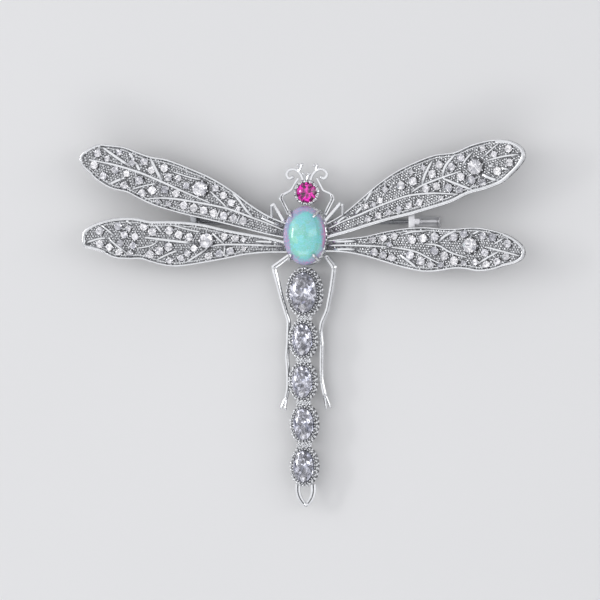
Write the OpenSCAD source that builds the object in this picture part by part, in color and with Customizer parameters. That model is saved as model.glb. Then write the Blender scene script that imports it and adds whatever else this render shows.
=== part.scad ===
// Insect brooch: a dragonfly in white metal with a cabochon thorax, a round eye stone, a row of
// oval stones in beaded collets down its abdomen and four pave wings.
// It lies on its back at z = 0, head toward +Y, front face toward +Z, the cabochon's middle over the origin.
// A wing's own frame runs +X from root to tip and +Y toward its front edge. Its tables give the place
// along the wing in percent of its length, and the place across it in percent of its width.

/* [Thorax] */
// Width of the cabochon
opal_w = 6.5; // [5.5:0.1:7.5]
// Length of the cabochon
opal_l = 8.9; // [8:0.1:10]
// Height of the cabochon's dome above its girdle
opal_h = 3; // [2.2:0.1:3.8]
// Height of the cabochon's girdle above the lying plane
girdle_z = 4.6; // [4.4:0.1:5.2]
// Depth of the basket that carries the cabochon
basket_depth = 3; // [2.6:0.1:3.4]
// Wall of the basket
basket_wall = 0.5; // [0.4:0.05:0.7]
// Thickness of a claw
claw_d = 0.6; // [0.5:0.05:0.8]

/* [Head] */
// Diameter of the round eye stone
eye_d = 3; // [2.6:0.1:3.4]
// Wall of the eye stone's collet
eye_wall = 0.42; // [0.36:0.02:0.5]
// Height of the eye stone's collet
eye_collet_h = 2.4; // [2:0.1:2.8]
// Step of the eye stone's collet below the basket's foot
head_drop = 0.6; // [0.4:0.05:0.8]
// Thickness of the feelers' wire
feeler_d = 0.55; // [0.45:0.05:0.65]
// Reach of the feelers in front of the collet
feeler_reach = 1.8; // [1.5:0.1:2.1]
// Width of the ledge under the eye stone's edge
eye_ledge = 0.25; // [0.2:0.05:0.35]
// Depth of the eye stone's seat
eye_seat = 0.35; // [0.3:0.05:0.45]

/* [Abdomen] */
// Width of the first oval stone
first_stone_w = 4; // [3.6:0.1:4.4]
// Length of the first oval stone
first_stone_l = 6; // [5.4:0.1:6.6]
// Width of the other oval stones
stone_w = 3; // [2.6:0.1:3.4]
// Length of the other oval stones
stone_l = 4.8; // [4.4:0.1:5.2]
// Height of the collets, from their feet to the oval stones' girdles
collet_h = 3.1; // [2.8:0.1:3.4]
// Width of the first collet's edge around its stone
first_edge = 0.88; // [0.8:0.02:0.96]
// Width of the other collets' edges around their stones
collet_edge = 0.77; // [0.72:0.01:0.82]
// Angle at which the abdomen slopes down to the lying plane
abdomen_slope = 2; // [1.5:0.1:2.5]
// Diameter of a bead on a collet's edge
bead_d = 0.5; // [0.44:0.02:0.54]
// Thickness of the tail loop's wire
tail_d = 0.7; // [0.6:0.05:0.8]
// Reach of the tail loop beyond the last collet
tail_reach = 2.9; // [2.5:0.1:3.4]

/* [Wings] */
// Reach of the left wings' tips from the middle of the body
left_reach = 34; // [33:0.1:37]
// Reach of the right wings' tips from the middle of the body
right_reach = 33.9; // [33:0.1:37]
// Width of the fore wings
fore_w = 7.2; // [6.8:0.1:7.8]
// Width of the hind wings
hind_w = 6.8; // [6.4:0.1:7.2]
// Angle of the left fore wing above the cross line
fore_left_angle = 16.8; // [16:0.2:20]
// Angle of the right fore wing above the cross line
fore_right_angle = 19.5; // [16:0.2:21]
// Angle of the left hind wing above the cross line
hind_left_angle = -0.3; // [-3:0.1:0]
// Angle of the right hind wing above the cross line
hind_right_angle = -3.6; // [-5:0.1:0]
// Angle at which the wings rise toward their tips
wing_rise = 4; // [3:0.25:5]
// Height of the wings' backs above the lying plane at the body
wing_z = 2.9; // [2.7:0.1:3.1]
// Thickness of a wing's floor
floor_t = 0.7; // [0.6:0.05:0.9]
// Height of the rims and veins above the floor
relief_h = 0.4; // [0.3:0.05:0.5]
// Width of a plain vein
vein_w = 0.26; // [0.2:0.02:0.34]
// Diameter of the usual pave stone
pave_d = 1.2; // [1.1:0.02:1.22]
// Diameter of the large stone in each wing
accent_d = 2.2; // [2:0.05:2.3]

/* [Legs] */
// Thickness of a leg at the body
leg_d = 0.75; // [0.6:0.05:0.8]
// Thickness of a leg at the foot
foot_d = 0.45; // [0.4:0.05:0.6]

/* [Pin and catch] */
// Distance from the hinge's axis to the middle of the body
hinge_x = 17.3; // [16:0.1:18]
// Distance of the pin in front of the cabochon's middle
pin_y = 2.1; // [1.8:0.1:2.3]
// Diameter of the pin's stem
stem_d = 0.8; // [0.7:0.05:0.9]
// Diameter of the pin's point where the catch holds it
point_d = 0.5; // [0.44:0.02:0.56]
// Length over which the stem narrows to its point
pin_taper = 3; // [2:0.1:4]
// Distance from the middle of the body to the catch's barrel
catch_x = 16.4; // [15.5:0.1:17]
// Length of the catch's barrel
barrel_len = 3.2; // [2.8:0.1:3.6]
// Wall of the turning sleeve and of the barrel around it
tube_wall = 0.2; // [0.18:0.01:0.22]
// Reach of the sleeve's lever beyond the barrel
lever_reach = 0.5; // [0.3:0.05:0.7]
// Thickness of the straps that carry the hinge and the catch
strap_t = 0.6; // [0.5:0.05:0.7]
// Width of the straps
strap_w = 0.9; // [0.8:0.05:1.2]
// Length of the straps, which bridge the fore and hind wings
strap_len = 4.4; // [4:0.1:5]
// Thickness of a hinge ear
ear_t = 0.45; // [0.4:0.05:0.6]
// Diameter of the hinge's rivet
rivet_d = 0.5; // [0.44:0.02:0.56]

/* [Hidden] */

// Colours of the materials
METAL = [0.8, 0.81, 0.83];
OPAL = [0.42, 0.8, 0.76];
RUBY = [0.85, 0.08, 0.4];
CLEAR = [0.82, 0.83, 0.9];

// Gap between neighbouring pieces
gap = 0.05;
// Running clearance of the hinge and of the catch's sleeve
running = 0.05;
// Steps between two points of a smooth curve
steps = 4;

// Half sizes of the basket, which stands under the cabochon's edge
basket = [opal_w / 2, opal_l / 2];
basket_top = girdle_z - gap;
basket_z = basket_top - basket_depth;
head_r = eye_d / 2 + eye_wall + gap;
head_y = basket.y + gap + head_r;
head_z = basket_z - head_drop;
head_top = head_z + eye_collet_h;

// Half sizes of a collet around a stone, and of its narrower foot
function collet(i) = stone_size(i) / 2 + [1, 1] * (gap + (i == 0 ? first_edge : collet_edge));
function collet_foot(i) = collet(i) - [1, 1] * (bead_d / 5 + foot_inset);
function stone_size(i) = i == 0 ? [first_stone_w, first_stone_l] : [stone_w, stone_l];
// Step of a collet's foot inside its wall
foot_inset = 0.62;
// Thickness of the ledge between a collet's wall and its foot
ledge_t = 0.35;
last_collet = 4;
// Sideways places of the five collets, in percent of a stone's width: the abdomen bends a little
collet_bend = [-9, -17, -19, -14, -15];
// Depth by which the beads of neighbouring collets run into each other
collet_overlap = 0.09;
// Place of a collet's middle along the abdomen, whose own frame starts at the basket's edge
function collet_y(i) =
    i == 0 ? -gap - collet(0).y : collet_y(i - 1) - collet(i - 1).y + collet_overlap - collet(i).y;
function collet_at(i) = [collet_bend[i] * stone_w / 100, collet_y(i), 0];
// Height of the abdomen's frame, at which the last collet's foot stands on the lying plane
abdomen_z = (collet_foot(last_collet).y - collet_y(last_collet)) * sin(abdomen_slope);
function on_abdomen(p) = [
    p.x, -basket.y + p.y * cos(abdomen_slope) - p.z * sin(abdomen_slope),
    abdomen_z + p.y * sin(abdomen_slope) + p.z * cos(abdomen_slope)
];

// Height of the pin's axis: the catch's barrel stands on the lying plane
sleeve_in = point_d / 2 + running;
sleeve_out = sleeve_in + tube_wall;
barrel_in = sleeve_out + running;
barrel_r = barrel_in + tube_wall;
pin_z = barrel_r;

// Smooth curve through points
function blend(a, b, c, d, t) =
    (2 * b + (c - a) * t + (2 * a - 5 * b + 4 * c - d) * t * t + (3 * b - a - 3 * c + d) * t * t * t) / 2;
function smooth(p, n = steps) = [
    for (i = [0 : len(p) - 2], k = [0 : n - 1])
        blend(p[max(i - 1, 0)], p[i], p[i + 1], p[min(i + 2, len(p) - 1)], k / n),
    p[len(p) - 1]
];
function reversed(p) = [for (i = [len(p) - 1 : -1 : 0]) p[i]];
// Direction along a list of points at one of them
function along(p, i) = let (d = p[min(i + 1, len(p) - 1)] - p[max(i - 1, 0)]) d / norm(d);
// Points moved to the right of their direction, by one distance each
function shifted(p, d) = [for (i = [0 : len(p) - 1]) let (t = along(p, i)) p[i] + [t.y, -t.x] * d[i]];
function oval(size, n = 48) = [for (i = [0 : n - 1]) [size.x * cos(360 * i / n), size.y * sin(360 * i / n)]];

// Closed solid through a stack of rings, each of n points
module through_rings(points, n) {
    last = len(points) - n;
    polyhedron(points, [
        [for (k = [0 : n - 1]) k],
        [for (k = [n - 1 : -1 : 0]) last + k],
        for (i = [0 : n : last - n], k = [0 : n - 1])
            each [
                [i + k, i + n + k, i + n + (k + 1) % n],
                [i + k, i + n + (k + 1) % n, i + (k + 1) % n]
            ]
    ]);
}
// Tube of n sides swept along points that lie in a plane square to flat, with one radius for each
module tube(p, r, n = 8, flat = [0, 0, 1]) {
    through_rings([
        for (i = [0 : len(p) - 1])
            let (t = along(p, i), c = cross(t, flat), side = c / norm(c), up = cross(side, t))
                for (k = [0 : n - 1]) p[i] + r[i] * (side * cos(360 * k / n) - up * sin(360 * k / n))
    ], n);
}

// Cut stones

// Heights of crown and pavilion and size of the table, as shares of a stone's size
crown_share = 0.16;
pavilion_share = 0.42;
table_share = 0.56;
// Ring of n points at a share of the stone's size
function stone_ring(size, share, z, n, turn) = [
    for (k = [0 : n - 1])
        let (a = 360 * (k + turn) / n)
            [size.x / 2 * share * cos(a), size.y / 2 * share * sin(a), z]
];
// Small round stone with a table and eight sides, its girdle at z = 0
module small_stone(d) {
    n = 8;
    points = concat(
        stone_ring([d, d], table_share, crown_share * d, n, 0),
        stone_ring([d, d], 1, 0, n, 0),
        [[0, 0, -pavilion_share * d]]
    );
    polyhedron(points, [
        [for (k = [n - 1 : -1 : 0]) k],
        for (k = [0 : n - 1])
            each [
                [k, (k + 1) % n, n + (k + 1) % n],
                [k, n + (k + 1) % n, n + k],
                [n + k, n + (k + 1) % n, 2 * n]
            ]
    ]);
}

// Large stone: table, bezel and girdle rings over a pavilion with a keel, its girdle at z = 0
module cut_stone(size) {
    d = min(size.x, size.y);
    keel = (size.y - size.x) / 3;
    points = concat(
        stone_ring(size, 0.54, crown_share * d, 8, 0.5),
        stone_ring(size, 0.82, 0.1 * d, 8, 0),
        stone_ring(size, 1, 0, 16, 0),
        stone_ring(size, 1, -0.03 * d, 16, 0),
        stone_ring(size, 0.5, -0.28 * d, 8, 0.5),
        [[0, -keel, -pavilion_share * d], [0, keel + 0.01, -pavilion_share * d]]
    );
    hull() polyhedron(points, [[for (i = [0 : len(points) - 1]) i]]);
}

// Wings

SIDE = 0;
ROOT = 1;
ANGLE = 2;
LENGTH = 3;
WIDTH = 4;
RIMS = 5;
EDGES = 6;
VEINS = 7;
ROWS = 8;
ACCENT = 9;

// Each table row is [place along, back edge, front edge]
fore_left_edges = [
    [0, -26, 6], [10, -30, 10], [20, -32, 22], [30, -34, 39], [40, -37, 51], [50, -40, 57], [62, -40, 61],
    [70, -35, 57], [76, -30, 58], [83, -32, 60], [90, -25, 55], [95, -14, 49], [99, -5, 33], [101, 7, 20]
];
fore_right_edges = [
    [0, -26, 3], [10, -30, 10], [20, -32, 26], [30, -35, 43], [40, -40, 55], [50, -43, 60], [60, -45, 60],
    [69, -41, 51], [77, -44, 53], [85, -43, 50], [90, -35, 44], [95, -24, 33], [99, -9, 12]
];
hind_left_edges = [
    [0, -34, -8], [10, -34, 3], [20, -38, 11], [30, -47, 20], [40, -55, 31], [50, -62, 37], [58, -62, 39],
    [66, -53, 39], [71, -46, 44], [77, -46, 47], [84, -43, 45], [90, -30, 39], [95, -23, 30], [99, -16, 14]
];
hind_right_edges = [
    [0, -32, -7], [10, -31, 1], [20, -36, 9], [30, -46, 22], [40, -56, 32], [50, -62, 37], [58, -58, 36],
    [65, -51, 38], [71, -50, 42], [77, -53, 43], [84, -48, 39], [90, -37, 32], [95, -30, 21], [99, -16, 4]
];

// Each vein is [width in percent of a plain vein, its points along and across the wing]
fore_left_veins = [
    [130, [[2, -10], [10, -6], [17, -4], [27, -1], [33, -2], [42, -6], [52, -12], [60, -20], [67, -32]]],
    [130, [[5, -3], [9, -1], [13, 1]]],
    [150, [[17, -3], [21, 8], [25, 22], [29, 33]]],
    [110, [[29, -1], [33, 9], [39, 23]]],
    [140, [[38, 0], [50, 6], [62, 13], [73, 18], [85, 18], [97, 13]]],
    [90, [[42, 42], [50, 39], [58, 40]]],
    [190, [[62, 15], [66, 34], [70, 53]]],
    [190, [[73, 22], [76, 36], [80, 52]]],
    [170, [[78, 25], [84, 33], [92, 45]]],
    [90, [[62, 10], [68, -3], [74, -20]]],
    [160, [[79, -2], [82, -13], [85, -25]]],
    [80, [[23, -6], [23.5, -26]]],
    [80, [[28, -5], [28.5, -27]]],
    [80, [[32.5, -6], [33, -29]]]
];
fore_right_veins = [
    [120, [[2, -8], [10, -4], [18, -3], [30, 0], [42, -1], [52, -12], [59, -24], [65, -36]]],
    [130, [[6, -4], [9, 1], [12, 4]]],
    [150, [[16, 1], [20, 10], [24, 24], [27, 34]]],
    [100, [[27, 4], [32, 20], [37, 31]]],
    [120, [[44, 3], [50, 9], [60, 10], [69, 9]]],
    [160, [[50, 11], [53, 29], [58, 50]]],
    [160, [[60, 11], [63, 30], [69, 46]]],
    [120, [[70.5, 18], [73, 28], [77, 38]]],
    [150, [[60, 8], [65, -12], [71, -35]]],
    [170, [[78, -14], [81, -27], [84, -36]]],
    [130, [[81.5, 1], [86, -11], [90, -22]]],
    [110, [[82, 11], [90, 7], [97, 0]]],
    [90, [[81, 21], [85, 28], [90, 37]]]
];
hind_left_veins = [
    [120, [[2, -19], [12, -17], [22, -15], [32, -15], [37, -20], [43, -37], [49, -54]]],
    [140, [[5, -11], [10, -9], [15, -8]]],
    [120, [[30.5, -13], [33, -3], [36, 10]]],
    [100, [[40, 12], [46, 17], [55, 28]]],
    [150, [[44, -12], [55, -6], [69, 2]]],
    [130, [[61, 14], [64, 31]]],
    [120, [[75, 30], [78, 40]]],
    [110, [[84, 7], [87, 19], [90, 29]]],
    [130, [[86, 1], [91, 0], [97, -8]]],
    [120, [[51, -24], [57, -34], [63, -47]]],
    [100, [[68, -30], [70, -42]]],
    [120, [[78, -31], [82, -18], [86, -2]]],
    [100, [[30, -17], [30.5, -40]]],
    [90, [[62, -4], [66, -16], [73, -22]]]
];
hind_right_veins = [
    [120, [[2, -17], [12, -14], [26, -12], [37, -13], [46, -19], [54, -34], [62, -50]]],
    [140, [[4, -8], [10, -6], [16, -3]]],
    [140, [[5, -25], [10, -23], [16, -22]]],
    [100, [[38, 17], [44, 25], [51, 29]]],
    [150, [[38, -28], [43, -42], [47, -55]]],
    [110, [[50, 0], [57, -2], [63, -15], [71, -24]]],
    [150, [[57, 8], [60, 21], [65, 34]]],
    [110, [[73, 27], [77, 37]]],
    [120, [[80, 2], [87, -4], [97, -13]]],
    [100, [[84, 8], [89, 24]]],
    [120, [[75, -43], [80, -26], [87, -6]]],
    [100, [[84, -16], [87, -24], [90, -31]]]
];

// Each row of pave stones is [along, across, along, across, count, size in percent of the usual stone]
fore_left_rows = [
    [28.5, 13, 37.3, 33, 3, 90], [20.7, -16, 49, -21, 7, 100], [50.5, 20, 55, 30, 2, 84],
    [59.5, 26, 62.5, 42, 2, 100], [68, 30, 72.3, 43, 2, 95], [54, -2, 59.5, -1, 2, 96],
    [65, -10, 69, -22, 2, 100], [72, 2, 78, -18, 2, 105], [56, -28, 61, -30, 2, 76],
    [77.4, 33, 78.5, 8, 2, 80], [94, 31, 94, 5, 2, 100], [84, 8, 88.5, -11, 2, 95],
    [84.5, 46, 89, 26, 2, 76], [24.6, 6, 24.6, 6, 1, 60]
];
fore_right_rows = [
    [22, 9, 25.6, 7, 2, 68], [29, 10, 33, 28, 2, 76], [40.5, 24, 46.4, 24, 2, 108],
    [21, -18, 46, -22, 6, 84], [56, 24, 60.5, 37, 2, 98], [65.5, 24, 71, 35, 2, 100],
    [51, 0, 56, -3, 2, 98], [61, -15, 65.5, -27, 2, 104], [68, -2, 72.3, -16, 2, 104],
    [76.7, -30, 85, -17, 2, 108], [93.2, 19, 91.5, -9, 2, 98], [86, 18, 82, 38, 2, 80],
    [53, 43, 47, 43, 2, 70], [56, -30, 53, -24, 1, 70]
];
hind_left_rows = [
    [25, -1, 30.3, 3, 2, 94], [47.4, 2, 52.4, 8, 2, 98], [57, 17, 65.3, 14, 2, 104],
    [69.5, 26, 82, 27, 2, 100], [77, 23, 77, 23, 1, 76], [91, 17, 91, -12, 2, 100],
    [73.7, 4, 79, 8, 2, 90], [74.7, -16, 81, -10, 2, 88], [27.5, -30, 37.8, -41, 3, 104],
    [45, -23, 51.5, -44, 3, 84], [57.5, -19, 66.5, -36, 3, 108], [57, -50, 57, -50, 1, 92],
    [76.3, -34, 86.3, -19, 2, 88], [81.6, -31, 81.6, -31, 1, 88], [21, -4, 21, -24, 2, 60]
];
hind_right_rows = [
    [24, 2, 34.5, 13, 3, 90], [32.3, -6, 32.3, -6, 1, 70], [25, -26, 34, -36, 3, 100],
    [43.5, 7, 49, 12, 2, 104], [43, -27, 48.5, -38, 2, 106], [54.5, 17, 64, 19, 2, 108],
    [69, 27, 78.5, 26, 2, 94], [83.4, 24, 91, 12, 2, 104], [80, -11, 90.5, -17, 2, 96],
    [86.3, -29, 81, -37, 2, 96], [75.5, -33, 70, -38, 2, 76], [55, -14, 65, -33, 3, 108],
    [53.5, -45, 58.5, -45, 2, 88]
];

// Depth of the wings' roots inside the basket's outline, which cuts them off, and their places along the body
fore_root_in = 0.55;
hind_root_in = 0.25;
fore_root = [basket.x - fore_root_in, 1.36];
hind_root = [basket.x - hind_root_in, -0.29];
// Share of a wing's length at which its tip ends
tip_share = 0.995;
function wing_length(reach, root, angle) = (reach - root.x) / (cos(angle) * cos(wing_rise) * tip_share);
// Each rim pair is [front rim, back rim] in percent of a plain vein, each accent [along, across]
FORE_LEFT = [
    -1, fore_root, fore_left_angle, wing_length(left_reach, fore_root, fore_left_angle), fore_w, [110, 115],
    fore_left_edges, fore_left_veins, fore_left_rows, [44, 22]
];
FORE_RIGHT = [
    1, fore_root, fore_right_angle, wing_length(right_reach, fore_root, fore_right_angle), fore_w, [90, 190],
    fore_right_edges, fore_right_veins, fore_right_rows, [76, 7]
];
HIND_LEFT = [
    -1, hind_root, hind_left_angle, wing_length(left_reach, hind_root, hind_left_angle), hind_w, [170, 110],
    hind_left_edges, hind_left_veins, hind_left_rows, [39, -6]
];
HIND_RIGHT = [
    1, hind_root, hind_right_angle, wing_length(right_reach, hind_root, hind_right_angle), hind_w, [85, 120],
    hind_right_edges, hind_right_veins, hind_right_rows, [72.5, 3]
];

// Point of a wing's own frame from its place along and across in percent
function wing_point(w, p) = [p.x * w[LENGTH], p.y * w[WIDTH]] / 100;
function edge_half(w, column) = [for (r = w[EDGES]) wing_point(w, [r.x, r[column]])];
function wing_outline(w) = smooth(concat(edge_half(w, 2), reversed(edge_half(w, 1))));
function wing_inside(w) =
    let (p = wing_outline(w), half = len(p) / 2)
        shifted(p, [for (i = [0 : len(p) - 1]) w[RIMS][i < half ? 0 : 1] * vein_w / 100]);
function row_stones(w) = [
    for (r = w[ROWS], k = [0 : r[4] - 1])
        let (
            t = r[4] > 1 ? k / (r[4] - 1) : 0,
            p = wing_point(w, [r[0] + (r[2] - r[0]) * t, r[1] + (r[3] - r[1]) * t])
        )
            [p.x, p.y, r[5] * pave_d / 100]
];

// Place of a point of a wing's own frame in the part's frame
function placed(w, p, z) =
    let (x = p.x * cos(wing_rise) - z * sin(wing_rise), a = w[ANGLE])
        [
            w[SIDE] * (w[ROOT].x + x * cos(a) - p.y * sin(a)),
            w[ROOT].y + x * sin(a) + p.y * cos(a),
            wing_z + p.x * sin(wing_rise) + z * cos(wing_rise)
        ];
module on_wing(w) {
    mirror([w[SIDE] < 0 ? 1 : 0, 0, 0])
        translate([w[ROOT].x, w[ROOT].y, wing_z])
            rotate([0, 0, w[ANGLE]])
                rotate([0, -wing_rise, 0])
                    children();
}

module vein(w, v) {
    p = smooth([for (q = v[1]) wing_point(w, q)]);
    half = [for (q = p) v[0] * vein_w / 200];
    polygon(concat(shifted(p, half), reversed(shifted(p, -half))));
}
module seats(w) {
    for (s = row_stones(w))
        translate([s.x, s.y])
            circle(d = s.z + 2 * gap, $fn = 24);
    translate(wing_point(w, w[ACCENT]))
        circle(d = accent_d + 2 * gap, $fn = 32);
}
module wing(w) {
    color(METAL) difference() {
        on_wing(w) {
            linear_extrude(floor_t) difference() {
                polygon(wing_outline(w));
                seats(w);
            }
            translate([0, 0, floor_t]) linear_extrude(relief_h) difference() {
                union() {
                    difference() {
                        polygon(wing_outline(w));
                        polygon(wing_inside(w));
                    }
                    intersection() {
                        polygon(wing_outline(w));
                        union() {
                            for (v = w[VEINS]) vein(w, v);
                            translate(wing_point(w, w[ACCENT]))
                                circle(d = accent_d + 2 * (gap + vein_w), $fn = 32);
                        }
                    }
                }
                seats(w);
            }
        }
        linear_extrude(2 * girdle_z) polygon(oval(basket + [gap, gap]));
    }
}
module pave(w) {
    color(CLEAR) on_wing(w)
        for (s = row_stones(w))
            translate([s.x, s.y, floor_t])
                small_stone(s.z);
}
module accent(w) {
    p = wing_point(w, w[ACCENT]);
    color(CLEAR) on_wing(w)
        translate([p.x, p.y, floor_t + relief_h / 2])
            cut_stone([accent_d, accent_d]);
}

// Thorax

claw_angle = 52;
// Point over the cabochon at a share of its half sizes, lifted clear of its dome
function over_opal(share, a, lift) = [
    share * opal_w / 2 * cos(a), share * opal_l / 2 * sin(a),
    girdle_z + opal_h * sqrt(max(0, 1 - share * share)) + lift
];
module claw(a) {
    r = claw_d / 2;
    foot = [basket.x * cos(a), basket.y * sin(a), 0];
    out = foot / norm(foot);
    p = [
        foot + out * r * 0.3 + [0, 0, basket_top - basket_depth * 0.6],
        foot + out * r * 0.7 + [0, 0, basket_top - r],
        foot + out * (r + gap) + [0, 0, girdle_z + gap],
        over_opal(0.96, a, 0) + out * (r + gap),
        over_opal(0.84, a, 0) + (out + [0, 0, 1]) * r * 0.9, over_opal(0.74, a, r + gap)
    ];
    tube(p, [r, r, r, r * 0.95, r * 0.85, r * 0.6], flat = [-out.y, out.x, 0]);
}
module thorax_setting() {
    color(METAL) {
        translate([0, 0, basket_z]) linear_extrude(basket_depth) difference() {
            polygon(oval(basket));
            polygon(oval(basket - [1, 1] * basket_wall));
        }
        for (a = [claw_angle, 180 - claw_angle, 180 + claw_angle, -claw_angle])
            claw(a);
    }
}
module opal() {
    rows = 7;
    n = 32;
    color(OPAL) {
        points = [
            for (k = [0 : rows - 1])
                let (a = 84 * k / (rows - 1)) each [
                    for (p = oval(basket * cos(a), n)) [p.x, p.y, girdle_z + opal_h * sin(a)]
                ]
        ];
        through_rings(points, n);
    }
}

// Head

eye_beads = 12;
// Points of the right feeler, in percent of the reach, from the collet out
feeler_curl = [
    [30, -20], [49, 36], [81, 72], [119, 85], [154, 74], [172, 46], [164, 20], [146, 8], [122, 18]
];
// Forks on the two feelers and between them: each prong from its foot to its tip
head_prongs = [
    [[-67, 64], [-56, 88], [-75, 121]], [[-67, 64], [-56, 88], [-39, 125]],
    [[2, -12], [-10, 14], [-28, 46]], [[2, -12], [8, 14], [19, 44]],
    [[83, 72], [81, 92], [62, 119]], [[83, 72], [81, 92], [93, 119]]
];
function head_wire(line) = [
    for (q = line)
        [q.x * feeler_reach / 100, head_y + head_r + q.y * feeler_reach / 100, head_top - feeler_d / 2]
];
module wire_with_ball(p, d, ball) {
    end = p[len(p) - 1];
    back = p[len(p) - 2] - end;
    tube(p, [for (q = p) d / 2]);
    translate(end) rotate([0, 0, atan2(back.y, back.x)]) sphere(d = ball, $fn = 24);
}
module feeler() {
    wire_with_ball(smooth(head_wire(feeler_curl), 3), feeler_d, feeler_d * 1.15);
}
module head_setting() {
    color(METAL) {
        difference() {
            translate([0, head_y, head_z]) cylinder(r1 = head_r * 0.79, r2 = head_r, h = eye_collet_h, $fn = 48);
            translate([0, head_y, 0]) cylinder(d = eye_d - 2 * eye_ledge, h = 2 * head_top, $fn = 48);
            translate([0, head_y, head_top - eye_seat]) cylinder(d = eye_d + 2 * gap, h = head_top, $fn = 48);
        }
        for (k = [0 : eye_beads - 1])
            translate([0, head_y, head_top])
                rotate([0, 0, 360 * (k + 0.5) / eye_beads])
                    translate([head_r - eye_wall / 2 - gap / 2, 0, 0])
                        sphere(d = bead_d * 0.9, $fn = 20);
        feeler();
        mirror([1, 0, 0]) feeler();
        for (line = head_prongs)
            wire_with_ball(head_wire(line), feeler_d * 0.75, feeler_d * 0.85);
    }
}
module head_stone() {
    color(RUBY) translate([0, head_y, head_top + gap]) cut_stone([eye_d, eye_d]);
}

// Legs

// Leg through points at its start's height, given as shares along and aside of the way from start to end
module leg(start, end, shape, side) {
    way = [end.x - start.x, end.y - start.y];
    aside = [way.y, -way.x] * side;
    p = [
        start,
        for (s = shape)
            [start.x + way.x * s.x + aside.x * s.y, start.y + way.y * s.x + aside.y * s.y, start.z],
        end
    ];
    tapered_leg(p);
}
// Leg through points, narrowing to its foot
module tapered_leg(p) {
    n = len(p) - 1;
    tube(p, [for (i = [0 : n]) (leg_d + (foot_d - leg_d) * i / n) / 2], 6);
}
// Point beside the basket at an angle, clear of it by the leg's thickness
function beside_basket(a, z) =
    let (
        p = [basket.x * cos(a), basket.y * sin(a)],
        q = p + p / norm(p) * (leg_d / 2 + gap)
    )
        [q.x, q.y, z];
// Angles around the basket at which the legs start
front_leg_angle = 40;
mid_leg_angle = 27;
hind_leg_angle = -38;

// Front feet from the head's middle in collet radii, knees as shares along and aside: left, then right
front_foot = [[0.69, 1.08], [0.77, 1.08]];
front_knees = [
    [[0.36, 0.32], [0.46, 0.31], [0.64, 0.11], [0.85, 0.06]],
    [[0.34, 0.29], [0.44, 0.3], [0.53, 0.25], [0.64, 0.09], [0.8, 0.05]]
];
// Places of the middle feet on the fore wings, in percent
mid_foot = [[8.5, 8], [10.8, 9.5]];
mid_knees = [[[1.02, 1.08], [1.2, 0.91]], [[1.09, 0.6], [1.2, 0.48]]];
module front_leg(side) {
    k = side < 0 ? 0 : 1;
    z = head_top - leg_d * 0.8;
    foot = front_foot[k] * head_r;
    color(METAL) mirror([1 - k, 0, 0])
        leg(beside_basket(front_leg_angle, z), [foot.x, head_y + foot.y, z], front_knees[k], 1);
}
module mid_leg(side) {
    k = side < 0 ? 0 : 1;
    w = k == 0 ? FORE_LEFT : FORE_RIGHT;
    foot = placed(w, wing_point(w, mid_foot[k]), floor_t + relief_h + foot_d / 2 + gap);
    z = foot.z + leg_d / 3;
    color(METAL) mirror([1 - k, 0, 0])
        leg(beside_basket(mid_leg_angle, z), [abs(foot.x), foot.y, foot.z], mid_knees[k], -1);
}
// Points of the hind legs, in percent of the way to the fourth collet and of a small collet's half width
hind_leg_shapes = [
    [
        [1, 198], [4, 194], [25, 145], [41, 103], [57, 110], [67, 117], [77, 110], [90, 111], [97, 125],
        [103, 140]
    ],
    [
        [1, 200], [5, 198], [18, 180], [33, 152], [42, 115], [48, 106], [58, 114], [73, 111], [84, 110],
        [95, 131], [102, 148]
    ]
];
module hind_leg(side) {
    shape = hind_leg_shapes[side < 0 ? 0 : 1];
    high = basket_z + leg_d;
    low = collet_h / 2 - leg_d / 2 - gap;
    way = collet_y(3) + collet(3).y;
    start = beside_basket(hind_leg_angle, high);
    p = [
        [side * start.x, start.y, start.z],
        for (k = [0 : len(shape) - 1])
            let (
                s = shape[k] / 100,
                q = on_abdomen([collet_at(2).x + side * s.y * collet(2).x, way * s.x, low])
            )
                [q.x, q.y, k < 2 ? high : k < 3 ? (high + q.z) / 2 : q.z]
    ];
    color(METAL) tapered_leg(p);
}

// Abdomen

module bead_ring(i) {
    size = collet(i) - [1, 1] * bead_d / 2;
    around = PI * (3 * (size.x + size.y) - sqrt((3 * size.x + size.y) * (size.x + 3 * size.y)));
    n = 2 * floor(around / (bead_d * 1.16) / 2);
    for (k = [0 : n - 1])
        let (a = 360 * (k + 0.5) / n)
            translate([size.x * cos(a), size.y * sin(a)])
                circle(d = bead_d, $fn = 8);
}
// One collet: a beaded edge and a wall around the stone, over a narrower open foot
module collet_body(i) {
    edge = collet(i) - [1, 1] * bead_d / 5;
    seat = stone_size(i) / 2 + [gap, gap];
    foot = collet_foot(i);
    mid_z = collet_h / 2;
    bead_z = collet_h - bead_d / 2;
    translate([0, 0, bead_z]) linear_extrude(bead_d) difference() {
        union() {
            polygon(oval(edge));
            bead_ring(i);
        }
        polygon(oval(seat));
    }
    translate([0, 0, mid_z]) linear_extrude(bead_z - mid_z) difference() {
        polygon(oval(edge));
        polygon(oval(seat));
    }
    translate([0, 0, mid_z]) linear_extrude(ledge_t) difference() {
        polygon(oval(edge));
        polygon(oval(foot - [1, 1] * basket_wall));
    }
    linear_extrude(mid_z + ledge_t / 2) difference() {
        polygon(oval(foot));
        polygon(oval(foot - [1, 1] * basket_wall));
    }
}
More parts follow.
